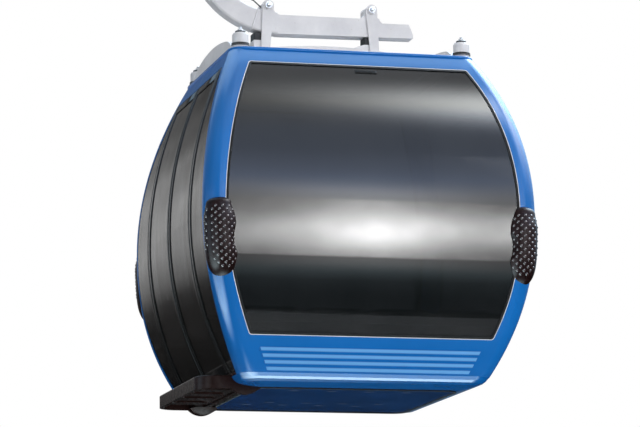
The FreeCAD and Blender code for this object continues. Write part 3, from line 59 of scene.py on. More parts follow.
class Finish:
    """A material under construction: one Principled shader and the nodes that feed it."""

    def __init__(self, name, colour, rough, metal=0.0, coat=0.0, specular=0.5, coat_rough=0.05):
        self.material = bpy.data.materials.new(name)
        self.material.use_nodes = True
        self.material.diffuse_color = (*colour, 1)
        self.tree = self.material.node_tree
        self.shader = self.tree.nodes["Principled BSDF"]
        for key, value in (("Base Color", colour), ("Roughness", rough), ("Metallic", metal),
                           ("Coat Weight", coat), ("Coat Roughness", coat_rough),
                           ("Specular IOR Level", specular)):
            self.give(self.shader.inputs[key], value)
        self.place = self.tree.nodes.new("ShaderNodeTexCoord").outputs["Object"]
        self.relief = None

    def give(self, socket, value):
        """Links a socket to another node's output, or gives it a plain value."""
        if isinstance(value, bpy.types.NodeSocket):
            self.tree.links.new(value, socket)
        else:
            socket.default_value = (*value, 1) if socket.type == "RGBA" else value

    def node(self, kind, inputs, **settings):
        made = self.tree.nodes.new(kind)
        for key, value in settings.items():
            setattr(made, key, value)
        for key, value in inputs.items():
            self.give(made.inputs[key], value)
        return made

    def noise(self, scale, detail=3.0, rough=0.5, stretch=None):
        """Noise of 0 to 1; stretch scales the three axes for a grain that runs one way."""
        where = self.place
        if stretch:
            where = self.node("ShaderNodeMapping", {"Vector": where, "Scale": stretch}).outputs["Vector"]
        return self.node("ShaderNodeTexNoise", {"Vector": where, "Scale": scale, "Detail": detail,
                                                "Roughness": rough}).outputs["Fac"]

    def ramp(self, value, *stops):
        """Colour or grey ramp through (place, value or colour) stops."""
        made = self.node("ShaderNodeValToRGB", {"Fac": value})
        points = made.color_ramp.elements
        while len(points) < len(stops):
            points.new(0.5)
        for point, (where, tone) in zip(points, stops):
            point.position = where
            point.color = (*tone, 1) if isinstance(tone, tuple) else (tone, tone, tone, 1)
        return made.outputs["Color"]

    def drift(self, grain, low, high):
        """Two tones or values that noise moves between; grain holds the noise's settings."""
        return self.ramp(self.noise(*grain), (0.3, low), (0.7, high))

    def calc(self, operation, a, b=0.0, c=0.0):
        """A number worked out by one Math node."""
        return self.node("ShaderNodeMath", {0: a, 1: b, 2: c}, operation=operation).outputs[0]

    def share(self, value, low, span):
        """How far along a span a value is: 0 at low, 1 at low + span."""
        return self.calc("DIVIDE", self.calc("SUBTRACT", value, low), span)

    def product(self, first, *others):
        for other in others:
            first = self.calc("MULTIPLY", first, other)
        return first

    def blend(self, share, a, b, kind="MIX"):
        """Mixes two colours; 6 and 7 are the Mix node's colour inputs."""
        return self.node("ShaderNodeMix", {0: share, 6: a, 7: b}, data_type="RGBA", blend_type=kind).outputs[2]

    def axes(self):
        return self.node("ShaderNodeSeparateXYZ", {"Vector": self.place}).outputs

    def height(self):
        """Height above the underside of the cabin's floor."""
        return self.calc("ADD", self.axes()[2], ROPE_ABOVE_FLOOR)

    def feed(self, socket, value):
        self.tree.links.new(value, self.shader.inputs[socket])

    def raise_by(self, pattern, depth, strength=1.0):
        """Adds a pattern to the surface's relief; depth is its height in metres."""
        values = {"Height": pattern, "Distance": depth, "Strength": strength}
        if self.relief is not None:
            values["Normal"] = self.relief
        self.relief = self.node("ShaderNodeBump", values).outputs["Normal"]
        self.feed("Normal", self.relief)

    def done(self, colour, gloss, low, high, relief, depth, strength):
        """The material with its colour, its gloss if that drifts, and a last relief of noise."""
        self.feed("Base Color", colour)
        if gloss:
            self.feed("Roughness", self.drift(gloss, low, high))
        self.raise_by(self.noise(*relief), depth, strength)
        return self.material


# One row a finish: its slot or use, name, colour, roughness and other settings, then
#   colour drift: noise (scale, detail, roughness, stretch), dark, light
#   gloss drift: noise, low, high (or no noise)
#   relief: noise, depth in metres, strength
PLAIN_FINISHES = (
    ("roof_white", "roof_pale_paint", (0.74, 0.75, 0.77), 0.42, {"coat": 0.15, "coat_rough": 0.2},
     (3.2, 6, 0.62), (0.62, 0.63, 0.65), (0.80, 0.81, 0.82), (22, 4), 0.36, 0.55, (90, 3), 0.0008, 0.2),
    ("seal_rubber", "gasket_rubber", (0.010, 0.010, 0.010), 0.7, {"specular": 0.22},
     (30, 5), (0.007, 0.007, 0.007), (0.015, 0.014, 0.014), (60, 3), 0.6, 0.8, (700, 2), 0.0003, 0.3),
    ("door_metal", "door_dark_aluminium", (0.10, 0.10, 0.105), 0.38, {"metal": 0.7},
     (6, 5), (0.075, 0.072, 0.072), (0.13, 0.13, 0.135),
     (300, 2, 0.5, (1, 1, 0.03)), 0.28, 0.46, (260, 2, 0.5, (1, 1, 0.02)), 0.0003, 0.15),
    ("bench_laminate", "bench_brown_laminate", (0.085, 0.045, 0.028), 0.4, {"coat": 0.2},
     (9, 6, 0.6, (0.6, 6, 6)), (0.055, 0.028, 0.018), (0.120, 0.066, 0.042),
     (20, 3), 0.32, 0.5, (9, 6, 0.6, (0.6, 6, 6)), 0.0005, 0.2),
    ("pad_rubber", "pad_black_rubber", (0.014, 0.013, 0.013), 0.6, {},
     (22, 5), (0.010, 0.009, 0.009), (0.026, 0.025, 0.024), None, 0, 0, (300, 3), 0.0005, 0.3),
    ("hub_steel", "turned_steel", (0.56, 0.56, 0.57), 0.28, {"metal": 1.0},
     (9, 5), (0.48, 0.48, 0.49), (0.62, 0.62, 0.63),
     (420, 2, 0.5, (1, 0.04, 0.04)), 0.2, 0.38, (420, 2, 0.5, (1, 0.04, 0.04)), 0.0002, 0.12),
    ("grip_cast", "grip_cast_grey", (0.27, 0.28, 0.29), 0.5, {"metal": 0.55},
     (12, 6, 0.62), (0.20, 0.21, 0.22), (0.36, 0.37, 0.38), (40, 4), 0.42, 0.62, (190, 4, 0.6), 0.0012, 0.35),
    ("jaw_steel", "jaw_worn_steel", (0.40, 0.39, 0.38), 0.36, {"metal": 1.0},
     (16, 6, 0.6), (0.26, 0.25, 0.245), (0.48, 0.47, 0.46), (30, 5), 0.26, 0.5, (130, 4), 0.0006, 0.25),
    ("roller_plastic", "roller_black_nylon", (0.022, 0.022, 0.024), 0.42, {},
     (20, 4), (0.017, 0.017, 0.019), (0.036, 0.036, 0.038), (60, 3), 0.34, 0.52, (240, 2), 0.0004, 0.2),
    ("plate_aluminium", "plate_brushed_aluminium", (0.62, 0.62, 0.63), 0.34, {"metal": 1.0},
     (7, 5), (0.54, 0.54, 0.55), (0.68, 0.68, 0.69),
     (260, 3, 0.5, (1, 0.02, 1)), 0.26, 0.46, (260, 3, 0.5, (1, 0.02, 1)), 0.0002, 0.2),
    ("spring_steel", "spring_yellow_zinc", (0.52, 0.40, 0.10), 0.36, {"metal": 0.6},
     (9, 5), (0.42, 0.31, 0.08), (0.60, 0.47, 0.16), (34, 4), 0.28, 0.46, (150, 3), 0.0004, 0.2),
    ("wheel_tyre", "tyre_rubber", (0.014, 0.014, 0.014), 0.62, {},
     (28, 5), (0.010, 0.010, 0.010), (0.028, 0.027, 0.026), None, 0, 0, (240, 3), 0.0006, 0.35),
    ("step_buffer", "buffer_dull_rubber", (0.018, 0.010, 0.009), 0.62, {"specular": 0.12},
     (22, 5), (0.013, 0.007, 0.006), (0.030, 0.019, 0.017), (40, 3), 0.54, 0.70, (260, 3), 0.0005, 0.3),
    # The studs are the bumpers' rubber, glossier, in a lighter brown that is a painted highlight.
    ("bumper_studs", "stud_glossy_rubber_painted_highlight", (0.050, 0.036, 0.034), 0.16, {"specular": 0.9},
     (60, 3), (0.034, 0.024, 0.023), (0.075, 0.056, 0.053), (90, 2), 0.12, 0.24, (700, 2), 0.0002, 0.2),
    ("leaf_edging", "leaf_edge_black", (0.010, 0.010, 0.010), 0.16, {"specular": 0.36},
     (14, 4), (0.008, 0.008, 0.008), (0.018, 0.017, 0.017), (22, 3), 0.12, 0.22, (30, 3), 0.0008, 0.2),
)


def plain_finish(name, colour, rough, more, grain, dark, light, *gloss_and_relief):
    made = Finish(name, colour, rough, **more)
    return made.done(made.drift(grain, dark, light), *gloss_and_relief)


CABIN_BLUE, BLUE_GRAIN = ((0.0026, 0.116, 0.395), (0.0042, 0.136, 0.455)), (2.2, 4)    # two tones, their noise
RIB_LEVELS = (0.081, 0.119, 0.156, 0.193)    # heights of the long ribs on the end panels
RIB_REACH = (0.604, 0.44)                    # half length of a rib at the floor, and its growth with height
RIB_FROM_Y = 0.70                            # ribs are beyond this, on the two ends


def cabin_paint():
    """Blue of the walls, with lighter bands on the ribs of the end panels and dust low down."""
    paint = Finish("cabin_blue_paint", (0.002, 0.096, 0.340), 0.30, coat=0.5, specular=0.08, coat_rough=0.09)
    x, y, _ = paint.axes()
    height = paint.height()
    bands = 0.0
    for level in RIB_LEVELS:
        off = paint.calc("ABSOLUTE", paint.calc("SUBTRACT", height, level))
        bands = paint.calc("MAXIMUM", bands, paint.ramp(off, (0.0075, 1.0), (0.0115, 0.0)))
    reach = paint.calc("ADD", RIB_REACH[0], paint.product(height, RIB_REACH[1]))
    bands = paint.product(bands, paint.calc("LESS_THAN", paint.calc("ABSOLUTE", x), reach),
                          paint.calc("GREATER_THAN", paint.calc("ABSOLUTE", y), RIB_FROM_Y))
    dust = paint.product(paint.noise(24, 5), 0.06, paint.ramp(height, (0.0, 1.0), (0.16, 0.0)))
    base = paint.blend(dust, paint.drift(BLUE_GRAIN, *CABIN_BLUE), (0.16, 0.17, 0.18))
    return paint.done(paint.blend(bands, base, (0.115, 0.340, 0.680)), (9, 5), 0.30, 0.42, (240, 2), 0.0004, 0.12)


def underside_paint():
    """Blue like the walls on the turned edge; underneath, a darker blue that is painted shade, patchy like grime.
    """
    paint = Finish("underside_blue_paint", (0.002, 0.060, 0.220), 0.15, specular=0.75)
    # The flat underside's darker blue is painted shade; the noise in it is patchy grime.
    grime_and_painted_shade = paint.drift((2.5, 5, 0.6), (0.001, 0.040, 0.160), (0.002, 0.062, 0.250))
    turned = paint.ramp(paint.product(paint.height(), 10.0), (0.008, 0.0), (0.02, 1.0))
    return paint.done(paint.blend(turned, grime_and_painted_shade, paint.drift(BLUE_GRAIN, *CABIN_BLUE)),
                      (18, 4), 0.12, 0.19, (60, 3), 0.0006, 0.04)


ACRYLIC_INDEX = 1.49


def smoked_acrylic(name, tint, rough, veil, veil_tone, *gloss_and_relief):
    """Dark clear acrylic with a thin pale veil where veil (a function of it) is above 0: haze on the windows,
    dust and a painted reflection on the doors.
    """
    glass = Finish(name, tint, rough)
    glass.shader.inputs["IOR"].default_value = ACRYLIC_INDEX
    share = veil(glass)
    glass.feed("Transmission Weight", glass.calc("SUBTRACT", 1.0, share))
    return glass.done(glass.blend(share, tint, veil_tone), *gloss_and_relief)


def window_acrylic():
    """Acrylic of the windows: nearly black inside, mirrors its surroundings."""
    def haze(glass):
        return glass.product(glass.ramp(glass.noise(3.0, 5, 0.6, (1, 1, 0.35)), (0.42, 0.0), (0.75, 1.0)), 0.05)

    return smoked_acrylic("window_smoked_acrylic", (0.060, 0.064, 0.070), 0.04, haze, (0.30, 0.31, 0.33),
                          (5, 4), 0.03, 0.07, (1.7, 2), 0.004, 0.10)


def door_acrylic():
    """Acrylic of the doors and side panes: a pale veil in upright streaks, brightest at mid-height, that is dust
    and a painted reflection, and a little wavy along the side.
    """
    # The pale upright streaks at mid-height are dust and a painted reflection of bright surroundings.
    def dust(glass):
        height = glass.height()
        return glass.product(glass.ramp(glass.noise(1.0, 4, 0.55, (0.3, 9.0, 0.55)), (0.40, 0.0), (0.66, 1.0)),
                             glass.ramp(height, (0.50, 0.0), (0.95, 1.0)),
                             glass.ramp(glass.product(height, 0.5), (0.62, 1.0), (0.86, 0.15)), 0.42)

    return smoked_acrylic("door_smoked_acrylic", (0.070, 0.066, 0.064), 0.06, dust, (0.36, 0.38, 0.39),
                          (6, 4), 0.05, 0.12, (1.0, 1, 0.4, (0.2, 5.0, 0.4)), 0.004, 0.25)


def deck_covering():
    """Studded rubber flooring."""
    deck = Finish("deck_studded_rubber", (0.035, 0.036, 0.038), 0.7)
    spots = deck.node("ShaderNodeTexVoronoi", {"Vector": deck.place, "Scale": 36.0, "Randomness": 0.0},
                      feature="F1").outputs["Distance"]
    deck.raise_by(deck.ramp(spots, (0.30, 1.0), (0.40, 0.0)), 0.0015, 0.6)
    deck.feed("Base Color", deck.drift((8, 5), (0.028, 0.028, 0.030), (0.055, 0.054, 0.055)))
    return deck.material


def step_moulding():
    """Dark brown moulded plastic with a fine grained skin, paler in patches on top: scuffs and a painted
    highlight of the lit top.
    """
    step = Finish("step_brown_moulding", (0.018, 0.009, 0.008), 0.26, specular=0.09)
    on_top = step.ramp(step.product(step.height(), 10.0), (0.66, 0.0), (0.70, 1.0))
    # Pale patches on the top face only: scuffs, and a painted highlight where the top catches the light.
    scuffs_and_painted_highlight = step.ramp(step.noise(11, 5, 0.6, (1, 0.4, 1)), (0.42, 0.0), (0.66, 1.0))
    tone = step.drift((6, 5), (0.014, 0.007, 0.006), (0.022, 0.011, 0.010))
    return step.done(step.blend(step.product(scuffs_and_painted_highlight, on_top, 0.5), tone, (0.20, 0.16, 0.15)),
                     (30, 4), 0.20, 0.34, (620, 2), 0.0002, 0.06)


def seat_covering():
    """Grained synthetic leather."""
    cover = Finish("seat_grained_cover", (0.030, 0.030, 0.034), 0.55, specular=0.4)
    grain = cover.node("ShaderNodeTexVoronoi", {"Vector": cover.place, "Scale": 420.0},
                       feature="DISTANCE_TO_EDGE").outputs["Distance"]
    cover.raise_by(cover.ramp(grain, (0.0, 0.0), (0.16, 1.0)), 0.0004, 0.6)
    return cover.done(cover.drift((10, 5), (0.022, 0.022, 0.026), (0.044, 0.043, 0.048)),
                      (40, 3), 0.46, 0.64, (14, 3), 0.003, 0.2)


def bumper_rubber():
    """Glossy dark brown rubber, dustier in patches."""
    rubber = Finish("bumper_brown_rubber", (0.012, 0.005, 0.005), 0.24, specular=0.14)
    tone = rubber.drift((18, 5), (0.008, 0.003, 0.003), (0.014, 0.006, 0.006))
    dust = rubber.product(rubber.ramp(rubber.noise(5, 4), (0.5, 0.0), (0.75, 1.0)), 0.03)
    return rubber.done(rubber.blend(dust, tone, (0.16, 0.13, 0.12)), (50, 3), 0.24, 0.38, (340, 3), 0.0003, 0.1)


MOUNT_SKIRT_TOP = 2.1402             # the roof mounts are bare rubber below this
MOUNT_GROOVE = (2.2180, 0.0062)      # middle and half height of the rubber under the cap


def mount_enamel():
    """Grey enamel of the roof mounts, with their rubber left dark."""
    enamel = Finish("mount_grey_enamel", (0.60, 0.60, 0.62), 0.4)
    height = enamel.height()
    dark = enamel.calc("MAXIMUM", enamel.calc("LESS_THAN", height, MOUNT_SKIRT_TOP),
                      enamel.calc("COMPARE", height, *MOUNT_GROOVE))
    tone = enamel.drift((12, 5), (0.54, 0.54, 0.56), (0.70, 0.70, 0.72))
    return enamel.done(enamel.blend(dark, tone, (0.035, 0.032, 0.032)), (30, 4), 0.32, 0.5, (120, 3), 0.0006, 0.2)


def frame_paint():
    """Pale warm paint over galvanised steel, with a few specks."""
    paint = Finish("frame_pale_paint", (0.70, 0.69, 0.70), 0.42)
    tone = paint.ramp(paint.noise(5, 6, 0.6), (0.25, (0.60, 0.59, 0.61)), (0.7, (0.76, 0.75, 0.76)))
    specks = paint.ramp(paint.noise(80, 3), (0.68, 0.0), (0.74, 1.0))
    return paint.done(paint.blend(paint.product(specks, 0.35), tone, (0.42, 0.38, 0.34)),
                      (16, 4), 0.34, 0.52, (60, 4), 0.0008, 0.18)


FINISHES = {use: plain_finish(*row) for use, *row in PLAIN_FINISHES}
FINISHES.update({
    "body_blue": cabin_paint(), "pan_blue": underside_paint(), "window_glass": window_acrylic(),
    "door_glass": door_acrylic(), "deck_rubber": deck_covering(), "step_plastic": step_moulding(),
    "seat_cover": seat_covering(), "bumper_rubber": bumper_rubber(), "mount_grey": mount_enamel(),
    "frame_paint": frame_paint(),
})


def finish_cad_nodes():
    """Every CAD node takes its own finish if it has one, or else that of its slot in the record."""
    for part in frame["record"]["subparts"]:
        materials = nodes[part["node"]].data.materials
        materials.clear()
        materials.append(FINISHES.get(part["node"]) or FINISHES[part["material_slot"]])


finish_cad_nodes()


# ---- ways of making pieces ----

def up(height):
    """A height above the underside of the floor, in the rope's frame."""
    return height - ROPE_ABOVE_FLOOR


def tidy(bm):
    bmesh.ops.remove_doubles(bm, verts=bm.verts, dist=1e-6)
    bmesh.ops.recalc_face_normals(bm, faces=bm.faces)


def move(bm, by):
    bmesh.ops.translate(bm, vec=by, verts=bm.verts)


def tip(bm, degrees):
    """Turns a shape about the Y axis."""
    bmesh.ops.rotate(bm, cent=(0, 0, 0), matrix=Matrix.Rotation(math.radians(degrees), 3, "Y"), verts=bm.verts)


def shape(name, bm):
    """A loose mesh, to be copied to several places."""
    mesh = bpy.data.meshes.new(name)
    bm.to_mesh(mesh)
    bm.free()
    return mesh


def placed(name, data):
    """A new object in the scene."""
    made = bpy.data.objects.new(name, data)
    scene.collection.objects.link(made)
    return made


def piece(name, bm, slot, body, crease=35, tidied=True, finish=None):
    """Closes a piece, gives it its slot's finish, or a finish of its own, and puts it on its body."""
    if tidied:
        tidy(bm)
    mesh = shape(name, bm)
    mesh.materials.append(FINISHES[finish or slot])
    mesh.shade_smooth()
    mesh.set_sharp_from_angle(angle=math.radians(crease))
    made = placed(name, mesh)
    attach(made, body)
    return made


def add(bm, other):
    """Moves the shape in other into bm."""
    passing = shape("passing", other)
    bm.from_mesh(passing)
    bpy.data.meshes.remove(passing)


def turn_up(bm, profile, segments=20):
    """Adds a solid turned about Z; profile holds (radius, height) corners from axis to axis."""
    made = bmesh.new()
    corners = [made.verts.new((r, 0, h)) for r, h in profile]
    edges = [made.edges.new(pair) for pair in zip(corners, corners[1:])]
    bmesh.ops.spin(made, geom=corners + edges, cent=(0, 0, 0), axis=(0, 0, 1), angle=2 * math.pi,
                   steps=segments, use_merge=True)
    tidy(made)
    add(bm, made)


def turned_shape(*solids):
    """A loose mesh of solids turned about Z, each from a profile and a number of segments."""
    bm = bmesh.new()
    for profile, segments in solids:
        turn_up(bm, profile, segments)
    return shape("turned", bm)


def set_out(bm, drawn, places):
    """Copies a shape drawn along Z to each (place, axis)."""
    for place, axis in places:
        first = len(bm.verts)
        bm.from_mesh(drawn)
        bm.verts.ensure_lookup_table()
        turn = Vector(axis).to_track_quat("Z", "Y").to_matrix().to_4x4()
        bmesh.ops.transform(bm, matrix=Matrix.Translation(place) @ turn, verts=bm.verts[first:])


def scattered(name, slot, body, *sets, crease=35, finish=None):
    """One piece made of loose shapes set out at their places, from (shape, places) pairs."""
    bm = bmesh.new()
    for drawn, places in sets:
        set_out(bm, drawn, places)
    return piece(name, bm, slot, body, crease, tidied=False, finish=finish)


def sharp_edges(bm, least=50):
    bmesh.ops.recalc_face_normals(bm, faces=bm.faces)
    return [e for e in bm.edges if e.is_manifold and e.calc_face_angle(0) > math.radians(least)]


def round_off(bm, edges, radius, segments=3):
    bmesh.ops.bevel(bm, geom=edges, offset=radius, offset_type="OFFSET", segments=segments,
                    profile=0.5, affect="EDGES", clamp_overlap=True, material=-1)


def raised(bm, by):
    """Thickens a sheet by a vector."""
    made = bmesh.ops.extrude_face_region(bm, geom=bm.faces[:])
    bmesh.ops.translate(bm, vec=by, verts=[v for v in made["geom"] if isinstance(v, bmesh.types.BMVert)])


def flat(half_x, half_y):
    """A flat sheet at the origin."""
    bm = bmesh.new()
    bmesh.ops.create_grid(bm, x_segments=1, y_segments=1, size=1)
    bmesh.ops.scale(bm, vec=(half_x, half_y, 1), verts=bm.verts)
    return bm


def rounded_sheet(half_x, half_y, corner, segments):
    """A flat sheet at the origin with rounded corners."""
    bm = flat(half_x, half_y)
    bmesh.ops.bevel(bm, geom=bm.verts[:], offset=corner, offset_type="OFFSET", segments=segments,
                    profile=0.5, affect="VERTICES", material=-1)
    return bm


def outline(sheet):
    """The corners of a one-face sheet in turn; the sheet is used up."""
    route = [loop.vert.co.copy() for loop in sheet.faces[:][0].loops]
    sheet.free()
    return route


def level_ring(name, slot, sheet, wide, tall, low, rounding, segments):
    """A ring as wide as given inside a sheet's outline, with rounded edges, from a low level up."""
    ring = bmesh.ops.inset_region(sheet, faces=sheet.faces[:], thickness=wide, use_even_offset=True,
                                  use_boundary=True)["faces"]
    bmesh.ops.delete(sheet, geom=[f for f in sheet.faces if f not in set(ring)], context="FACES")
    raised(sheet, (0, 0, tall))
    move(sheet, (0, 0, up(low)))
    round_off(sheet, sharp_edges(sheet), rounding, segments)
    piece(name, sheet, slot, "cabin", 50)


def block(bm, low, high, edge=0.002, segments=2):
    """Adds a bar between two corners with all its edges rounded."""
    size = Vector(high) - Vector(low)
    made = flat(size.x / 2, size.y / 2)
    raised(made, (0, 0, size.z))
    round_off(made, sharp_edges(made), edge, segments)
    move(made, ((low[0] + high[0]) / 2, (low[1] + high[1]) / 2, low[2]))
    add(bm, made)


THREAD_TURNS = 5


def hex_bolt(across, head, washer, thick, shank=0.0):
    """Hexagon head or nut on its washer, with the end of its thread if shank is given."""
    bm = bmesh.new()
    bmesh.ops.create_circle(bm, cap_ends=True, segments=6, radius=across)
    raised(bm, (0, 0, head))
    top = [e for e in sharp_edges(bm) if all(v.co.z > head - 1e-6 for v in e.verts)]
    round_off(bm, top, across * 0.14, 2)
    move(bm, (0, 0, thick))
    turn_up(bm, [(0, 0), (washer, 0), (washer, thick * 0.8), (washer - thick * 0.2, thick), (0, thick)], 24)
    if shank:
        r, z = across * 0.52, thick + head - 0.001
        thread = [(0, z)]
        for i in range(THREAD_TURNS):
            thread += [(r * 0.9, z + shank * i / THREAD_TURNS), (r, z + shank * (i + 0.5) / THREAD_TURNS)]
        turn_up(bm, thread + [(r * 0.85, z + shank), (0, z + shank)], 16)
    return shape("hex_bolt", bm)


FACING_OUTWARD = 0.55


def outward_rims(node, outward):
    """The closed outlines of a node's outward faces, the longest first, as lists of points."""
    bm = bmesh.new()
    bm.from_mesh(nodes[node].data)
    bmesh.ops.remove_doubles(bm, verts=bm.verts, dist=1e-5)
    outer = {f for f in bm.faces if f.normal.dot(Vector(outward)) > FACING_OUTWARD}
    left = dict.fromkeys(e for e in bm.edges if sum(f in outer for f in e.link_faces) == 1)
    rims = []
    while left:
        edge = next(iter(left))
        del left[edge]
        start, here = edge.verts
        rim = [start.co.copy()]
        while here is not start:
            rim.append(here.co.copy())
            edge = next((e for e in here.link_edges if e in left), None)
            if edge is None:
                break
            del left[edge]
            here = edge.other_vert(here)
        rims.append(rim)
    bm.free()
    return sorted(rims, key=lambda rim: sum((a - b).length for a, b in zip(rim, rim[1:])), reverse=True)


def bead(bm, route, radius, closed=True):
    """Adds a round bead along a route."""
    curve = bpy.data.curves.new("bead", "CURVE")
    curve.dimensions = "3D"
    curve.bevel_depth = radius
    curve.bevel_resolution = 2
    curve.use_fill_caps = True
    line = curve.splines.new("POLY")
    line.points.add(len(route) - 1)
    for point, place in zip(line.points, route):
        point.co = (*place, 1)
    line.use_cyclic_u = closed
    holder = bpy.data.objects.new("bead", curve)
    mesh = bpy.data.meshes.new_from_object(holder)
    bm.from_mesh(mesh)
    bpy.data.objects.remove(holder)
    bpy.data.meshes.remove(mesh)


# ---- walls, windows and doors ----

def window_beads():
    """A thin pale bead round each gasket that is a painted highlight along the frame's edge, and the gasket's own
    rounded lip on the pane.
    """
    for name, outward in (("front", (0, -1, 0)), ("rear", (0, 1, 0)), ("right", (1, 0, 0))):
        outer, inner = outward_rims("window_seal_" + name, outward)[:2]
        # The pale bead round the gasket is a painted highlight along the frame's edge.
        for kind, rim, radius, slot in (("window_highlight_bead_", outer, 0.0022, "roof_white"),
                                        ("window_gasket_lip_", inner, 0.0030, "seal_rubber")):
            bm = bmesh.new()
            bead(bm, rim, radius)
            piece(kind + name, bm, slot, "cabin", 60)


WIDEST = 1.030                                   # height where the cabin is widest
SIDE_ARCS = ((1.251, 2.300), (0.911, 1.960))     # centre's x and radius, above and below that height
STRIP_CHAMFER = (0.0004, 0.0006)                 # off the face and off the edge of a strip
ARC_STEPS = 22 / 0.45                            # steps of a strip for each radian


def side_strip(bm, ys, z0, z1, deep, set_in):
    """Adds a flat strip that follows the door side between two heights, deep into it from its face."""
    y0, y1 = sorted(ys)
    for (centre, radius), low, high in ((SIDE_ARCS[0], max(z0, WIDEST), z1), (SIDE_ARCS[1], z0, min(z1, WIDEST))):
        if high <= low:
            continue
        made = bmesh.new()
        pivot = (centre, 0, up(WIDEST))
        outer, inner = centre - radius + set_in, centre - radius + set_in + deep
        off, edge = STRIP_CHAMFER
        corners = ((inner, y0), (outer + off, y0), (outer, y0 + edge),
                   (outer, y1 - edge), (outer + off, y1), (inner, y1))
        face = made.faces.new([made.verts.new((x, y, up(WIDEST))) for x, y in corners])
        start, stop = (math.asin((z - WIDEST) / (radius - set_in)) for z in (low, high))
        bmesh.ops.rotate(made, cent=pivot, matrix=Matrix.Rotation(start, 3, "Y"), verts=made.verts)
        bmesh.ops.spin(made, geom=[face], cent=pivot, axis=(0, 1, 0), angle=stop - start,
                       steps=max(2, int(ARC_STEPS * (stop - start))), use_merge=False)
        add(bm, made)


DOOR_LEVELS = (0.085, 1.973)     # lower and upper end of the leaves' panes
LEAF_BORDERS = ((0.0055, 0.049), (0.560, 0.6045))     # y of the borders along a leaf's upright edges
BORDER_TALL = 0.050              # height of the borders along its top and bottom
PANE_BORDER = (0.6135, 0.648)    # y of the border of the fixed pane beside a leaf
PANE_PAST_LEAF = 0.008
BORDER_FACE = (0.005, -0.0016)   # depth of a border, and how far it is set into the pane


def door_edge_rubbers():
    """Black edging along the leaves and the fixed panes, and the bulb where the leaves meet."""
    low, high = DOOR_LEVELS
    between = (LEAF_BORDERS[0][1], LEAF_BORDERS[1][0])
    leaves, panes, middle = bmesh.new(), bmesh.new(), bmesh.new()
    strips = [(leaves, border, low, high) for border in LEAF_BORDERS]
    strips += [(leaves, between, low, low + BORDER_TALL), (leaves, between, high - BORDER_TALL, high),
               (panes, PANE_BORDER, low - PANE_PAST_LEAF, high + PANE_PAST_LEAF)]
    for ey in BOTH:
        for bm, ys, z0, z1 in strips:
            side_strip(bm, [ey * y for y in ys], z0, z1, *BORDER_FACE)
    side_strip(middle, (-0.0048, 0.0048), low, high, 0.007, -0.0025)
    piece("door_leaf_edging", leaves, "seal_rubber", "cabin", 50, finish="leaf_edging")
    piece("side_pane_edging", panes, "seal_rubber", "cabin", 50, finish="leaf_edging")
    piece("door_middle_bulb", middle, "seal_rubber", "cabin", 60)


END_ARC = (-0.340, 1.100, 1.420)     # the end walls' upper arc: centre's reach and height, and radius
VENT_LEVEL, VENT_ASIDE, VENT_SUNK = 1.957, 0.035, 0.0045
VENT_BODY = ((-0.070, -0.0135, -0.001), (0.070, 0.0135, 0.004))
LOUVRE_HALF_LONG, LOUVRE_HALF_WIDE, LOUVRE_LEVELS = 0.062, 0.0022, (0.003, 0.0065)
LOUVRES_Y = (-0.0075, 0.0, 0.0075)
VENT_SCREWS_X = (-0.0655, 0.0655)


def window_vent():
    """The small dark louvred vent near the top of each end window."""
    centre_reach, centre_level, radius = END_ARC
    lean = math.asin((VENT_LEVEL - centre_level) / radius)
    reach = centre_reach + radius * math.cos(lean) - VENT_SUNK
    screw = turned_shape(([(0, 0.0035), (0.0028, 0.0035), (0.0024, 0.0052), (0, 0.0057)], 10))
    for name, ey in ENDS:
        bm = bmesh.new()
        block(bm, *VENT_BODY)
        for y in LOUVRES_Y:
            block(bm, (-LOUVRE_HALF_LONG, y - LOUVRE_HALF_WIDE, LOUVRE_LEVELS[0]),
                  (LOUVRE_HALF_LONG, y + LOUVRE_HALF_WIDE, LOUVRE_LEVELS[1]), 0.0008, 1)
        set_out(bm, screw, [((x, 0, 0), (0, 0, 1)) for x in VENT_SCREWS_X])
        across = Vector((-ey, 0, 0))
        outward = Vector((0, ey * math.cos(lean), math.sin(lean)))
        turn = Matrix((across, outward.cross(across), outward)).transposed().to_4x4()
        place = Matrix.Translation((-ey * VENT_ASIDE, ey * reach, up(VENT_LEVEL)))
        bmesh.ops.transform(bm, matrix=place @ turn, verts=bm.verts)
        piece("window_vent_" + name, bm, "seal_rubber", "cabin")


def roof_rim():
    """The rolled blue rim between the walls and the roof's flange."""
    level_ring("roof_rolled_rim", "body_blue", rounded_sheet(0.791, 0.678, 0.104, 10),
               wide=0.021, tall=0.024, low=2.091, rounding=0.0095, segments=4)


# ---- bumpers ----

STUD_RADIUS, STUD_FLATNESS = 0.0088, 0.42
STUD_COLUMNS, FIRST_COLUMN, COLUMN_PITCH = 11, 4, 14.5      # angles round the pad's axis, in degrees
STUD_ROWS, FIRST_ROW, ROW_PITCH = 9, 0.690, 0.043           # heights; every other column is half a row lower
PAD_AXIS = (0.9445, 1.023)       # x and y of the pad's leaning axis
PAD_LEAN = (0.859, 0.0524)       # height where the axis is at that x, and x gained for each metre above it
STUD_FACING, STUD_SLOPE = 0.86, 0.45     # how squarely a stud's seat faces outward, and its steepest slope
PAD_FREE = (1.036, 1.086)        # nearer than this x and this y the pad lies against the post


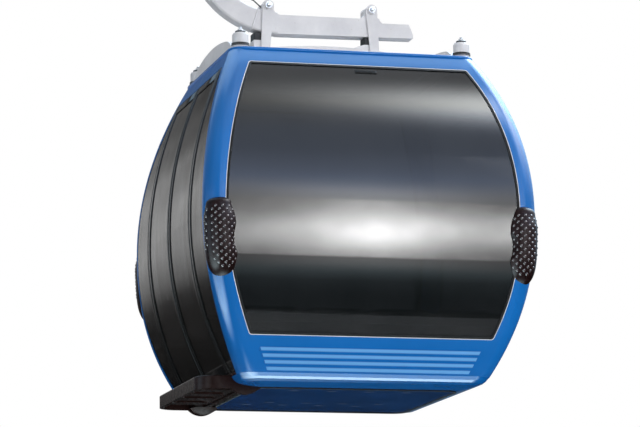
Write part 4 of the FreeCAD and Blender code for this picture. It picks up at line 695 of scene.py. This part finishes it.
def bumper_studs():
    """Low studs in staggered columns over the outward part of each corner pad."""
    bm = bmesh.new()
    bmesh.ops.create_uvsphere(bm, u_segments=9, v_segments=4, radius=STUD_RADIUS)
    bmesh.ops.scale(bm, vec=(1, 1, STUD_FLATNESS), verts=bm.verts)
    stud = shape("stud", bm)
    for end, ey in ENDS:
        for side, sx in (("left", -1), ("right", 1)):
            corner = "%s_%s" % (end, side)
            mesh = nodes["bumper_" + corner].data
            pad = BVHTree.FromPolygons([v.co for v in mesh.vertices], [p.vertices for p in mesh.polygons])
            places = []
            for column in range(STUD_COLUMNS):
                angle = math.radians(FIRST_COLUMN + COLUMN_PITCH * column)
                outward = Vector((sx * math.cos(angle), ey * math.sin(angle), 0))
                for row in range(STUD_ROWS):
                    height = FIRST_ROW + ROW_PITCH * (row - column % 2 / 2)
                    axis = Vector((sx * (PAD_AXIS[0] + (height - PAD_LEAN[0]) * PAD_LEAN[1]), ey * PAD_AXIS[1],
                                   up(height)))
                    place, normal, _, _ = pad.ray_cast(axis + outward * 0.3, -outward)
                    if place is None or normal.dot(outward) < STUD_FACING or abs(normal.z) > STUD_SLOPE:
                        continue
                    if abs(place.x) >= PAD_FREE[0] or abs(place.y) >= PAD_FREE[1]:
                        places.append((place, normal))
            scattered("bumper_studs_" + corner, "bumper_rubber", "cabin", (stud, places), crease=80,
                      finish="bumper_studs")


# ---- step and floor pan ----

TREAD_RIBS, TREAD_FIRST_X, TREAD_PITCH, TREAD_HALF_WIDE = 9, -0.955, 0.024, 0.004
TREAD_ENDS = (0.500, 0.560)          # y of the ends of the first rib and of the others
TREAD_LEVELS = (0.069, 0.0735)
STEP_FOOT = -0.010                   # height of the step's underside
STEP_SCREWS = ((-0.705, (-0.52, -0.18, 0.16)), (-0.985, (-0.44, -0.15, 0.15, 0.44)))    # x, and each y


def step_tread():
    """Raised ribs on top of the step, and the screws under it that hold it."""
    bm = bmesh.new()
    low, high = (up(z) for z in TREAD_LEVELS)
    for i in range(TREAD_RIBS):
        x = TREAD_FIRST_X + TREAD_PITCH * i
        reach = TREAD_ENDS[min(i, 1)]
        block(bm, (x - TREAD_HALF_WIDE, -reach, low), (x + TREAD_HALF_WIDE, reach, high), 0.0018)
    piece("step_tread_ribs", bm, "step_plastic", "cabin", 50)
    scattered("step_screws", "step_plastic", "cabin",
              (hex_bolt(0.0085, 0.006, 0.013, 0.002),
               [((x, y, up(STEP_FOOT)), (0, 0, -1)) for x, ys in STEP_SCREWS for y in ys]))


DRAIN_PITCH = 0.240
DRAIN_ROWS = ((-0.470, 1.5), (0.180, 1.5), (0.305, 2.0))     # y, and the place of x = 0 in slots


def pan_fittings():
    """A black bead round the pan's foot that is a painted shadow line, and dark plates in its drain slots that
    are painted shade.
    """
    # The black bead is a painted shadow line where the turned edge meets the underside.
    level_ring("pan_painted_shadow_bead", "seal_rubber", rounded_sheet(0.6560, 0.6360, 0.091, 8),
               wide=0.010, tall=0.010, low=-0.0075, rounding=0.0018, segments=2)
    # Dark plates in the drain slots are painted shade, so that the slots look black.
    plate = rounded_sheet(0.0308, 0.0147, 0.0143, 5)
    raised(plate, (0, 0, 0.003))
    tidy(plate)
    scattered("drain_slot_shade_plates", "seal_rubber", "cabin",
              (shape("slot_shade_plate", plate), [(((column - middle) * DRAIN_PITCH, y, up(0.0004)), (0, 0, 1))
                                          for y, middle in DRAIN_ROWS for column in range(4)]))


# ---- seats ----

CUSHION = Vector((0.384, 0.334, 0.038))      # length, depth and thickness of a stuffed cushion
CUSHIONS_A_BENCH, CUSHION_PITCH = 4, 0.410
CUSHION_FOOT, PIPING_LEVEL = 0.425, 0.441    # heights of a cushion's underside and of its piping
PIPING_RADIUS = 0.0026
BAG_INSET, BAG_TALL = 0.014, 0.024           # the unstuffed bag is this much smaller, and this thick
VOXEL = 0.006
MOST_SWELL, CUSHION_TOP = 0.013, 0.0405
CHANNELS_X, CHANNEL_DEPTH, CHANNEL_WIDTH = (-0.062, 0.062), 0.0055, 0.0075
CHANNEL_FROM = (0.016, 0.010)                # height in the cushion where a channel starts, and its fade
CLOTH = {"quality": 6, "mass": 0.3, "tension_stiffness": 25, "compression_stiffness": 25,
         "bending_stiffness": 1.5, "use_pressure": True, "uniform_pressure_force": 4}
CLOTH_FRAMES = 20


def apply_modifiers(made):
    """Gives an object the mesh that its modifiers make of it."""
    mesh = bpy.data.meshes.new_from_object(made.evaluated_get(bpy.context.evaluated_depsgraph_get()))
    made.modifiers.clear()
    made.data = mesh


def held(value, limit):
    """A value kept 1 mm inside plus or minus a limit."""
    return max(0.001 - limit, min(limit - 0.001, value))


def stuffed_cushion():
    """One seat cushion at the origin: a flat bag swollen by its stuffing, with two sewn channels."""
    bm = rounded_sheet((CUSHION.x - BAG_INSET) / 2, (CUSHION.y - BAG_INSET) / 2, 0.05, 6)
    raised(bm, (0, 0, BAG_TALL))
    round_off(bm, sharp_edges(bm), 0.006, 2)
    bag = placed("bag", shape("bag", bm))
    voxels = bag.modifiers.new("voxels", "REMESH")
    voxels.mode = "VOXEL"
    voxels.voxel_size = VOXEL
    bpy.context.view_layer.update()
    apply_modifiers(bag)
    rest = [v.co.copy() for v in bag.data.vertices]
    cloth = bag.modifiers.new("stuffing", "CLOTH")
    for key, value in CLOTH.items():
        setattr(cloth.settings, key, value)
    cloth.settings.effector_weights.gravity = 0
    for moment in range(1, CLOTH_FRAMES + 1):
        scene.frame_set(moment)
    apply_modifiers(bag)
    scene.frame_set(1)
    for vert, start in zip(bag.data.vertices, rest):
        swell = vert.co - start
        if swell.length > MOST_SWELL:
            swell *= MOST_SWELL / swell.length
        place = start + swell
        depth = max(0.0, min(1.0, (place.z - CHANNEL_FROM[0]) / CHANNEL_FROM[1]))
        for x in CHANNELS_X:
            place.z -= CHANNEL_DEPTH * depth * math.exp(-((place.x - x) / CHANNEL_WIDTH) ** 2)
        place.x, place.y = held(place.x, CUSHION.x / 2), held(place.y, CUSHION.y / 2)
        place.z = max(0.0, min(CUSHION_TOP, place.z))
        vert.co = place
    bm = bmesh.new()
    bm.from_mesh(bag.data)
    for _ in range(2):
        bmesh.ops.smooth_vert(bm, verts=bm.verts, factor=0.4, use_axis_x=True, use_axis_y=True, use_axis_z=True)
    for vert in bm.verts:
        vert.co.z = max(0.0, vert.co.z)
    bpy.data.objects.remove(bag)
    return shape("cushion", bm)


def seat_cushions():
    """Eight cushions and their piping, on the two benches."""
    drawn = stuffed_cushion()
    edge = outline(rounded_sheet(CUSHION.x / 2 - 0.002, CUSHION.y / 2 - 0.002, 0.055, 8))
    for end, _ in ENDS:
        low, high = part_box("seat_pads_" + end)
        y = (low.y + high.y) / 2
        for i in range(CUSHIONS_A_BENCH):
            x = (i - (CUSHIONS_A_BENCH - 1) / 2) * CUSHION_PITCH
            name = "%s_%d" % (end, i + 1)
            cushion = scattered("seat_cushion_" + name, "seat_cover", "cabin",
                                (drawn, [((x, y, up(CUSHION_FOOT)), (0, 0, 1))]), crease=80)
            smooth = cushion.modifiers.new("smooth", "SUBSURF")
            smooth.levels = smooth.render_levels = 1
            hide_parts("seat_pads_" + end)
            bm = bmesh.new()
            bead(bm, [Vector((x, y, up(PIPING_LEVEL))) + corner for corner in edge], PIPING_RADIUS)
            piece("seat_piping_" + name, bm, "seat_cover", "cabin", 80)


EDGING_REACH, EDGING_THICK = 0.93, 0.006
EDGING_LEVELS = (0.401, 0.427)


def bench_edging():
    """Rounded metal edging along the front of each bench board."""
    for end, ey in ENDS:
        low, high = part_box("bench_" + end)
        front = high.y if ey < 0 else low.y
        y0, y1 = sorted((front, front - EDGING_THICK * ey))
        z0, z1 = (up(z) for z in EDGING_LEVELS)
        bm = bmesh.new()
        block(bm, (-EDGING_REACH, y0, z0), (EDGING_REACH, y1, z1), 0.0025)
        piece("bench_edging_" + end, bm, "hub_steel", "cabin")


# ---- roof frame and hanger ----

PINS = ((-0.4045, 0.2805), 0.0855, 2.524)        # the stirrups' pins: x of each, half length, height
FEET = ((-0.4265, 0.3025), 0.070, 2.228)         # their bolted feet: x of each, y of the face, height
RAIL_FACE = 0.055
BESIDE_FEET = ((0.044, 2.236), (-0.062, 2.242))  # the small bolts: x from a foot, height


def suspension_bolts():
    """Bolts of the stirrups, nuts on their pins, and the bolts beside the feet."""
    large = hex_bolt(0.0155, 0.012, 0.021, 0.0035, 0.010)
    small = hex_bolt(0.0105, 0.008, 0.0155, 0.0025, 0.006)
    sets = []
    for ey in BOTH:
        sets.append((large, [((x, ey * y, up(z)), (0, ey, 0)) for xs, y, z in (FEET, PINS) for x in xs]))
        sets.append((small, [((x + off, ey * RAIL_FACE, up(z)), (0, ey, 0))
                             for off, z in BESIDE_FEET for x in FEET[0]]))
    scattered("stirrup_bolts", "hub_steel", "cabin", *sets)


MOUNTS = [(sx * 0.716, sy * 0.600) for sx in BOTH for sy in BOTH]
MOUNT_CAP_LEVEL, MOUNT_LIP_LEVEL = 2.2238, 2.1390
MOUNT_THREAD = [(r, z + 0.0022 * i) for i in range(5) for r, z in ((0.0088, 0.0135), (0.0096, 0.0146))]


def mount_hardware():
    """Washers under the mounts' nuts, threads above them and a dust lip round each housing."""
    washer = turned_shape(([(0.0, 0.0), (0.024, 0.0), (0.024, 0.0022), (0.0235, 0.003), (0.0, 0.003)], 24),
                          ([(0, 0.012)] + MOUNT_THREAD + [(0.0085, 0.0246), (0, 0.0246)], 16))
    lip = turned_shape(([(0.0505, 0), (0.0545, 0.0012), (0.056, 0.0035), (0.0545, 0.006), (0.0505, 0.0072)], 40))
    for name, slot, drawn, level in (("mount_washers", "hub_steel", washer, MOUNT_CAP_LEVEL),
                                     ("mount_dust_lips", "pad_rubber", lip, MOUNT_LIP_LEVEL)):
        scattered(name, slot, "cabin", (drawn, [((x, y, up(level)), (0, 0, 1)) for x, y in MOUNTS]))


HUB_HEIGHT = -0.165                      # the hanger's spindle, from the rope's axis
HUB_FACE = -0.2325                       # x where the tube meets the hub
WELD_RADIUS = 0.0045
TUBE_SECTION = (0.070, 0.055, 0.014)     # half width, half depth and corner radius
RAIL_SECTION = (0.036, 0.055, 0.002)
RAIL_TOP, RAIL_BOW, RAIL_END = 2.276, 3.250, 0.674      # height at its middle, bow's radius, half length
LOWER_BEND = (-0.340, 2.925, 0.510)      # x and height of the tube's bend centre, and its radius
TUBE_LEAN = 17                           # degrees that the tube has turned where it meets the beam


def frame_welds():
    """Weld beads where the rail meets the arms and where the tube meets the beam and the hub."""
    rail_end = RAIL_TOP - RAIL_SECTION[0] - (RAIL_BOW - math.sqrt(RAIL_BOW ** 2 - RAIL_END ** 2))
    x, level, radius = LOWER_BEND
    lean = math.radians(TUBE_LEAN)
    rings = [(RAIL_SECTION, 90, (sx * (RAIL_END - 0.0005), 0, up(rail_end))) for sx in BOTH]
    beam_end = (x - radius * math.sin(lean), 0, up(level - radius * math.cos(lean)))
    rings += [(TUBE_SECTION, TUBE_LEAN - 90, beam_end), (TUBE_SECTION, 90, (HUB_FACE, 0, HUB_HEIGHT))]
    bm = bmesh.new()
    for section, turn, place in rings:
        ring = bmesh.new()
        bead(ring, outline(rounded_sheet(*section, 5)), WELD_RADIUS)
        tip(ring, turn)
        move(ring, place)
        add(bm, ring)
    piece("frame_welds", bm, "frame_paint", "cabin", 60)


KEEPER_ROUTE = ((-0.492, 2.573), (-0.470, 2.555), (-0.446, 2.534), (-0.436, 2.522))      # x and height
KEEPER_RADIUS, KEEPER_BALL = 0.0045, (-0.493, 2.574)


def pin_keeper():
    """The thin locking rod beside the left pin, with the ball on its end."""
    bm = bmesh.new()
    bead(bm, [Vector((x, 0, up(z))) for x, z in KEEPER_ROUTE], KEEPER_RADIUS, closed=False)
    ball = turned_shape(([(0, -0.008), (0.006, -0.006), (0.008, 0), (0.006, 0.006), (0, 0.008)], 12))
    set_out(bm, ball, [((KEEPER_BALL[0], 0, up(KEEPER_BALL[1])), (0, 0, 1))])
    piece("pin_locking_rod", bm, "pad_rubber", "cabin", 60)


# ---- grip, with heights from the rope's axis ----

CHEEK_FACE = 0.116
CHEEK_BOLTS = ((-0.1175, (-0.095, -0.048, 0.048, 0.095)), (0.118, (-0.135, 0.0, 0.135)),
               (0.028, (-0.120, 0.120)))                 # height, places along the rope
JAW_PIN = (-0.072, 0.1545, -0.064)                       # x, half length and height
NIPPLES_X, NIPPLE_FACE = (-0.125, 0.045), 0.0635
WHEEL_Y, WHEEL_HEIGHT, WHEEL_FACE, AXLE_END = 0.190, 0.040, 0.1755, 0.1945
WHEEL_BOLTS, BOLT_CIRCLE = 6, 0.0305
SPRING_X, SPRING_Y, SPRING_END = -0.062, 0.106, -0.2955
SPRING_RIBS, FIRST_SPRING_RIB, SPRING_RIB_PITCH = 5, -0.262, 0.022
JAW_SCREWS_Y, JAW_SCREWS_AT, JAW_SLOPE = (-0.095, -0.055, 0.055, 0.095), (-0.034, 0.0375), (-0.10, 0, 1)
ROLLER_PIN_END = (-0.268, 0.0575, 0.066)
LINING = ((0.062, -0.228, 0.1615), (0.146, 0.228, 0.1645))
PLATE_SCREWS_X, PLATE_SCREWS_Y, PLATE_TOP = (0.076, 0.132), (-0.20, -0.10, 0.0, 0.10, 0.20), 0.1643


def grip_hardware():
    """Bolts of the cheek plate, nuts of the jaw's pin and the wheels' axles, and grease nipples."""
    cap = hex_bolt(0.012, 0.009, 0.017, 0.003)
    nut = hex_bolt(0.021, 0.012, 0.0235, 0.003, 0.008)
    nipple = turned_shape(([(0, 0), (0.006, 0), (0.006, 0.006), (0.0035, 0.008), (0.0035, 0.012),
                            (0.005, 0.0145), (0.003, 0.018), (0, 0.018)], 12))
    pin_x, pin_end, pin_height = JAW_PIN
    scattered("grip_bolts", "hub_steel", "grip",
              (cap, [((CHEEK_FACE, y, z), (1, 0, 0)) for z, ys in CHEEK_BOLTS for y in ys]),
              (nut, [((pin_x, ey * pin_end, pin_height), (0, ey, 0)) for ey in BOTH]),
              (nipple, [((x, NIPPLE_FACE, HUB_HEIGHT), (0, 1, 0)) for x in NIPPLES_X]))
    axle_nut = hex_bolt(0.017, 0.008, 0.021, 0.002)
    wheel_bolt = hex_bolt(0.0042, 0.003, 0.0062, 0.001)
    angles = [math.radians(360 / WHEEL_BOLTS * (k + 0.5)) for k in range(WHEEL_BOLTS)]
    circle = [(BOLT_CIRCLE * math.cos(a), WHEEL_HEIGHT + BOLT_CIRCLE * math.sin(a)) for a in angles]
    for name, ey in ENDS:
        y = ey * WHEEL_Y
        scattered("axle_nut_" + name, "hub_steel", "grip",
                  (axle_nut, [((AXLE_END, y, WHEEL_HEIGHT), (1, 0, 0))]))
        scattered("wheel_bolts_" + name, "hub_steel", "wheel_" + name,
                  (wheel_bolt, [((WHEEL_FACE, y + off, z), (1, 0, 0)) for off, z in circle]))


def jaw_hardware():
    """Screws along the top of the moving jaw, and the cap of its roller's pin."""
    screw = hex_bolt(0.0075, 0.005, 0.011, 0.0018)
    scattered("jaw_screws", "hub_steel", "jaw",
              (screw, [((JAW_SCREWS_AT[0], y, JAW_SCREWS_AT[1]), JAW_SLOPE) for y in JAW_SCREWS_Y]))
    cap = turned_shape(([(0, 0), (0.0185, 0), (0.0185, 0.003), (0.013, 0.006), (0.013, 0.009), (0, 0.009)], 24))
    scattered("roller_cap", "hub_steel", "jaw", (cap, [(ROLLER_PIN_END, (0, 1, 0))]))


def drive_plate_lining():
    """A lining strip on the drive plate, with its countersunk screws."""
    bm = bmesh.new()
    block(bm, *LINING, 0.0012, 1)
    piece("drive_plate_lining", bm, "roller_plastic", "grip")
    screw = turned_shape(([(0, 0), (0.009, 0), (0.009, 0.0008), (0.0055, 0.0016), (0, 0.0016)], 16))
    scattered("drive_plate_screws", "hub_steel", "grip",
              (screw, [((x, y, PLATE_TOP), (0, 0, 1)) for x in PLATE_SCREWS_X for y in PLATE_SCREWS_Y]))


def spring_fittings():
    """Ribs round the spring cans and the adjusting nuts under them."""
    rib = turned_shape(([(0.0335, 0), (0.0365, 0.0015), (0.0375, 0.004), (0.0365, 0.0065), (0.0335, 0.008)], 32))
    scattered("spring_can_ribs", "spring_steel", "grip",
              (rib, [((SPRING_X, ey * SPRING_Y, FIRST_SPRING_RIB + SPRING_RIB_PITCH * i), (0, 0, 1))
                     for ey in BOTH for i in range(SPRING_RIBS)]))
    scattered("spring_nuts", "hub_steel", "grip",
              (hex_bolt(0.017, 0.010, 0.022, 0.002, 0.006),
               [((SPRING_X, ey * SPRING_Y, SPRING_END), (0, 0, -1)) for ey in BOTH]))


for make in (window_beads, door_edge_rubbers, window_vent, roof_rim, bumper_studs, step_tread, pan_fittings,
             seat_cushions, bench_edging, suspension_bolts, mount_hardware, frame_welds, pin_keeper,
             grip_hardware, jaw_hardware, drive_plate_lining, spring_fittings):
    make()


# ---- floor, light and camera ----

FLOOR_LEVEL, FLOOR_REACH = -6.88, 60
FLOOR_GLOW = 0.52                           # seen by the camera only, so that the floor looks pale
CABIN_MIDDLE = (0, 0, -3.2)
WINDOW_MIDDLE = Vector((0, -1.08, -3.4))
SEEN_ALONG = Vector((0.2535, -0.9673, 0))   # level direction that the front window mirrors


def studio_floor():
    """A pale floor at the camera's level."""
    bm = flat(FLOOR_REACH, FLOOR_REACH)
    move(bm, (0, 0, FLOOR_LEVEL))
    pale = Finish("studio_pale_floor", (0.80, 0.80, 0.80), 1.0, specular=0.0)
    pale.shader.inputs["Emission Color"].default_value = (1, 1, 1, 1)
    seen = pale.node("ShaderNodeLightPath", {}).outputs["Is Camera Ray"]
    pale.feed("Emission Strength", pale.product(seen, FLOOR_GLOW))
    floor = placed("studio_floor", shape("studio_floor", bm))
    floor.data.materials.append(pale.material)
    floor.visible_glossy = False


def mirrored_board(name, bm, glow, light):
    """A sheet that only mirrors see; it shines with a colour from glow's nodes, times light."""
    shine = glow.node("ShaderNodeEmission", {"Color": light[0], "Strength": light[1]})
    glow.tree.nodes.remove(glow.shader)
    glow.tree.links.new(shine.outputs[0], glow.tree.nodes["Material Output"].inputs["Surface"])
    board = placed(name, shape(name, bm))
    board.data.materials.append(glow.material)
    board.visible_camera = board.visible_diffuse = board.visible_shadow = False
    board.visible_transmission = board.visible_volume_scatter = False


BRIGHTEST = 24.0            # brightness that the surround's tones are shares of
# Brightness by the angle from straight ahead up over the top (90) and down under the cabin (-90)
AHEAD = ((-180, 0.01), (-152, 0.01), (-142, 1.0), (-128, 4.0), (-112, 7.0), (-92, 9.0), (-76, 7.0), (-63, 1.4),
         (-54, 0.14), (-34, 0.10), (-12, 0.14), (-4, 0.3), (3, 0.9), (8, 1.1), (10, 2.4), (16, 2.6), (27, 1.8),
         (36, 1.3), (60, 1.15), (78, 0.8), (87, 0.9), (93, 2.6), (112, 3.2), (150, 0.9), (180, 0.4))
OBLIQUE = ((-180, 0.01), (-146, 0.01), (-120, 0.12), (-10, 0.10), (4, 0.3), (34, 0.5), (60, 0.6), (90, 0.7),
           (120, 0.6), (180, 0.1))
# Brightness by the angle above level
LEFT = ((-90, 0.05), (-66, 0.1), (-52, 9.0), (-30, 14.0), (-12, 6.0), (4, 2.0), (18, 0.3), (90, 0.1))
RIGHT = ((-90, 0.01), (-8, 0.01), (2, 0.3), (12, 0.7), (24, 2.6), (40, 9.0), (52, 16.0), (72, 12.0), (90, 2.0))
# How much of the three last lists there is, by the angle to the side
OBLIQUE_SHARE = ((0, 0), (19, 0), (29, BRIGHTEST), (90, BRIGHTEST))
LEFT_SHARE = ((-90, 0), (-84, 0), (-76, BRIGHTEST), (-60, BRIGHTEST), (-44, 0), (90, 0))
RIGHT_SHARE = ((-90, 0), (19, 0), (36, BRIGHTEST), (90, BRIGHTEST))
# Brightness along the streak and its lower edge, by how far aside (as a sine)
STREAK = ((-0.12, 4.0), (-0.06, 7.0), (-0.03, 10.0), (0.0, 9.5), (0.06, 13.0), (0.10, 14.0), (0.25, 12.0))
UNDER_STREAK = ((-0.08, 2.0), (0.03, 3.0), (0.07, 0.0))
STREAK_TILT = 1.8           # degrees that the streak drops for each unit aside
# Tint by the angle from straight ahead, as a share of 90 degrees
SKY_TINTS = ((0.0, (0.82, 1.08, 1.16)), (0.07, (1.0, 1.0, 1.0)), (0.12, (1.0, 1.0, 1.0)),
             (0.24, (0.80, 0.97, 1.36)), (0.52, (0.86, 1.0, 1.26)), (0.70, (1.0, 1.03, 1.02)),
             (0.95, (0.96, 1.0, 1.06)), (1.0, (0.72, 1.02, 1.30)))


def surround():
    """A dome that only glossy surfaces mirror: dark ground, a bright low streak in front with a sun
    spot in it, a greyer sky with one pale cloud, and a dim surround beside and behind."""
    bm = bmesh.new()
    bmesh.ops.create_uvsphere(bm, u_segments=48, v_segments=24, radius=20)
    move(bm, WINDOW_MIDDLE)
    glow = Finish("studio_surround", (0, 0, 0), 1)

    def on_vectors(operation, a, b, output="Vector"):
        return glow.node("ShaderNodeVectorMath", {0: a, 1: b}, operation=operation).outputs[output]

    def degrees(value):
        return glow.product(value, math.degrees(1))

    def levels(value, stops):
        """Brightness through (degrees or other value, brightness) stops, as a share of the brightest."""
        low, high = stops[0][0], stops[-1][0]
        return glow.ramp(glow.share(value, low, high - low),
                         *[((e - low) / (high - low), v / BRIGHTEST) for e, v in stops])

    def spot(*offs):
        """A soft spot: 1 where each (value, middle, reach) is at its middle."""
        total = 0.0
        for off in offs:
            total = glow.calc("ADD", total, glow.calc("POWER", glow.share(*off), 2.0))
        return glow.calc("EXPONENT", glow.product(total, -0.5))

    out = on_vectors("NORMALIZE", on_vectors("SUBTRACT", glow.place, WINDOW_MIDDLE), (0, 0, 0))
    height, ahead, aside = (on_vectors("DOT_PRODUCT", out, axis, "Value") for axis in
                            ((0, 0, 1), SEEN_ALONG, (-SEEN_ALONG.y, SEEN_ALONG.x, 0)))
    turn = degrees(glow.calc("ARCTAN2", height, ahead))
    rise = degrees(glow.calc("ARCSINE", height))
    sideways = degrees(glow.calc("ARCSINE", aside))
    level = glow.calc("ADD", turn, glow.product(aside, STREAK_TILT))
    tone = levels(turn, AHEAD)
    for share, strength in (
            (glow.product(spot((level, 9.12, 0.32)), levels(aside, STREAK)), BRIGHTEST),
            (glow.product(spot((level, 8.65, 0.32)), levels(aside, UNDER_STREAK)), BRIGHTEST),
            (spot((level, 9.10, 0.50), (aside, 0.017, 0.024)), 13.0),       # sun
            (spot((turn, 11.0, 4.5), (aside, 0.015, 0.042)), 3.6),          # veil round it
            (spot((turn, 62.0, 6.5), (aside, 0.255, 0.072)), 11.5)):        # cloud
        tone = glow.blend(share, tone, (strength / BRIGHTEST,) * 3, "ADD")
    tone = glow.blend(levels(glow.calc("ABSOLUTE", sideways), OBLIQUE_SHARE), tone, levels(turn, OBLIQUE))
    tone = glow.blend(levels(sideways, LEFT_SHARE), tone, levels(rise, LEFT))
    tone = glow.blend(levels(sideways, RIGHT_SHARE), tone, levels(rise, RIGHT))
    tint = glow.ramp(glow.calc("DIVIDE", turn, 90.0), *SKY_TINTS)
    mirrored_board("studio_surround", bm, glow, (glow.blend(1.0, tone, tint, "MULTIPLY"), BRIGHTEST))


BACKDROP = ((-2.5, 12, -2.5), (10, 11))      # middle, width and height
# Brightness by height
BACKDROP_TONES = ((-8, 0.02), (-3.7, 0.02), (-3.2, 0.08), (-2.7, 0.45), (-1.9, 0.85), (-0.8, 0.9), (0.0, 0.55),
                  (0.5, 0.30), (1.0, 0.2), (1.4, 0.1), (3, 0.08))


def door_backdrop():
    """An upright sheet that the doors mirror: dark below, brightest in the middle, in uneven bars."""
    middle, (wide, tall) = BACKDROP
    foot = middle[2] - tall / 2
    bm = flat(wide / 2, tall / 2)
    bmesh.ops.rotate(bm, cent=(0, 0, 0), matrix=Matrix.Rotation(math.radians(90), 3, "X"), verts=bm.verts)
    move(bm, middle)
    glow = Finish("studio_door_sky", (0, 0, 0), 1)
    tone = glow.ramp(glow.share(glow.axes()[2], foot, tall), *[((z - foot) / tall, v) for z, v in BACKDROP_TONES])
    bars = glow.ramp(glow.noise(1.0, 3, 0.5, (1.6, 1, 0.12)), (0.35, 0.40), (0.65, 1.0))
    mirrored_board("studio_door_backdrop", bm, glow, (glow.blend(1.0, tone, bars, "MULTIPLY"), 1.0))


LAMPS = (      # name, place, size, power
    ("lamp_front_right", (7.0, -11.0, 2.0), (5, 5), 620),
    ("lamp_left", (-10.0, -6.0, 0.0), (4, 5), 150),
    ("lamp_above", (0.0, -2.0, 6.0), (6, 6), 260),
    ("lamp_below", (1.0, -5.5, -6.6), (4, 1.6), 145),
)


def lamps():
    """Area lamps that all aim at the cabin's middle and that mirrors don't see."""
    for name, place, size, power in LAMPS:
        light = bpy.data.lights.new(name, "AREA")
        light.shape = "RECTANGLE"
        light.size, light.size_y = size
        light.energy = power
        lamp = placed(name, light)
        lamp.location = place
        lamp.rotation_euler = (Vector(CABIN_MIDDLE) - Vector(place)).to_track_quat("-Z", "Y").to_euler()
        lamp.visible_glossy = False


def sky():
    """Soft light from all sides, and plain white where the camera, a mirror or glass looks at it."""
    scene.world = bpy.data.worlds.new("studio")
    scene.world.use_nodes = True
    tree = scene.world.node_tree
    soft, white = tree.nodes["Background"], tree.nodes.new("ShaderNodeBackground")
    for shader, colour, strength in ((soft, (0.95, 0.97, 1.0, 1), 0.42), (white, (1, 1, 1, 1), 1.0)):
        shader.inputs["Color"].default_value = colour
        shader.inputs["Strength"].default_value = strength
    rays = tree.nodes.new("ShaderNodeLightPath").outputs
    seen = rays["Is Camera Ray"]
    for ray in ("Is Glossy Ray", "Is Transmission Ray"):
        either = tree.nodes.new("ShaderNodeMath")
        either.operation = "MAXIMUM"
        tree.links.new(seen, either.inputs[0])
        tree.links.new(rays[ray], either.inputs[1])
        seen = either.outputs[0]
    mix = tree.nodes.new("ShaderNodeMixShader")
    for i, value in enumerate((seen, soft.outputs[0], white.outputs[0])):
        tree.links.new(value, mix.inputs[i])
    tree.links.new(mix.outputs[0], tree.nodes["World Output"].inputs["Surface"])


CAMERA_PLACE = (-5.501, -20.739, -6.832)
CAMERA_TURNS = (-14.701, 9.604, -0.637)     # degrees: yaw (below 0 to the right), pitch upward, roll
CAMERA_LENS, CAMERA_SENSOR = 191.9, 36


def camera():
    """Looks up from below, from the front and the door side."""
    data = bpy.data.cameras.new("camera")
    data.sensor_width = CAMERA_SENSOR
    data.lens = CAMERA_LENS
    data.clip_end = 200
    eye = placed("camera", data)
    yaw, pitch, roll = (math.radians(turn) for turn in CAMERA_TURNS)
    forward = Vector((math.sin(-yaw) * math.cos(pitch), math.cos(yaw) * math.cos(pitch), math.sin(pitch)))
    right = forward.cross(Vector((0, 0, 1))).normalized()
    upward = right.cross(forward)
    right, upward = (right * math.cos(roll) + upward * math.sin(roll),
                     upward * math.cos(roll) - right * math.sin(roll))
    eye.matrix_world = Matrix.Translation(CAMERA_PLACE) @ Matrix((right, upward, -forward)).transposed().to_4x4()
    scene.camera = eye


studio_floor()
lamps()
sky()
surround()
door_backdrop()
camera()
scene.view_settings.view_transform = "Standard"
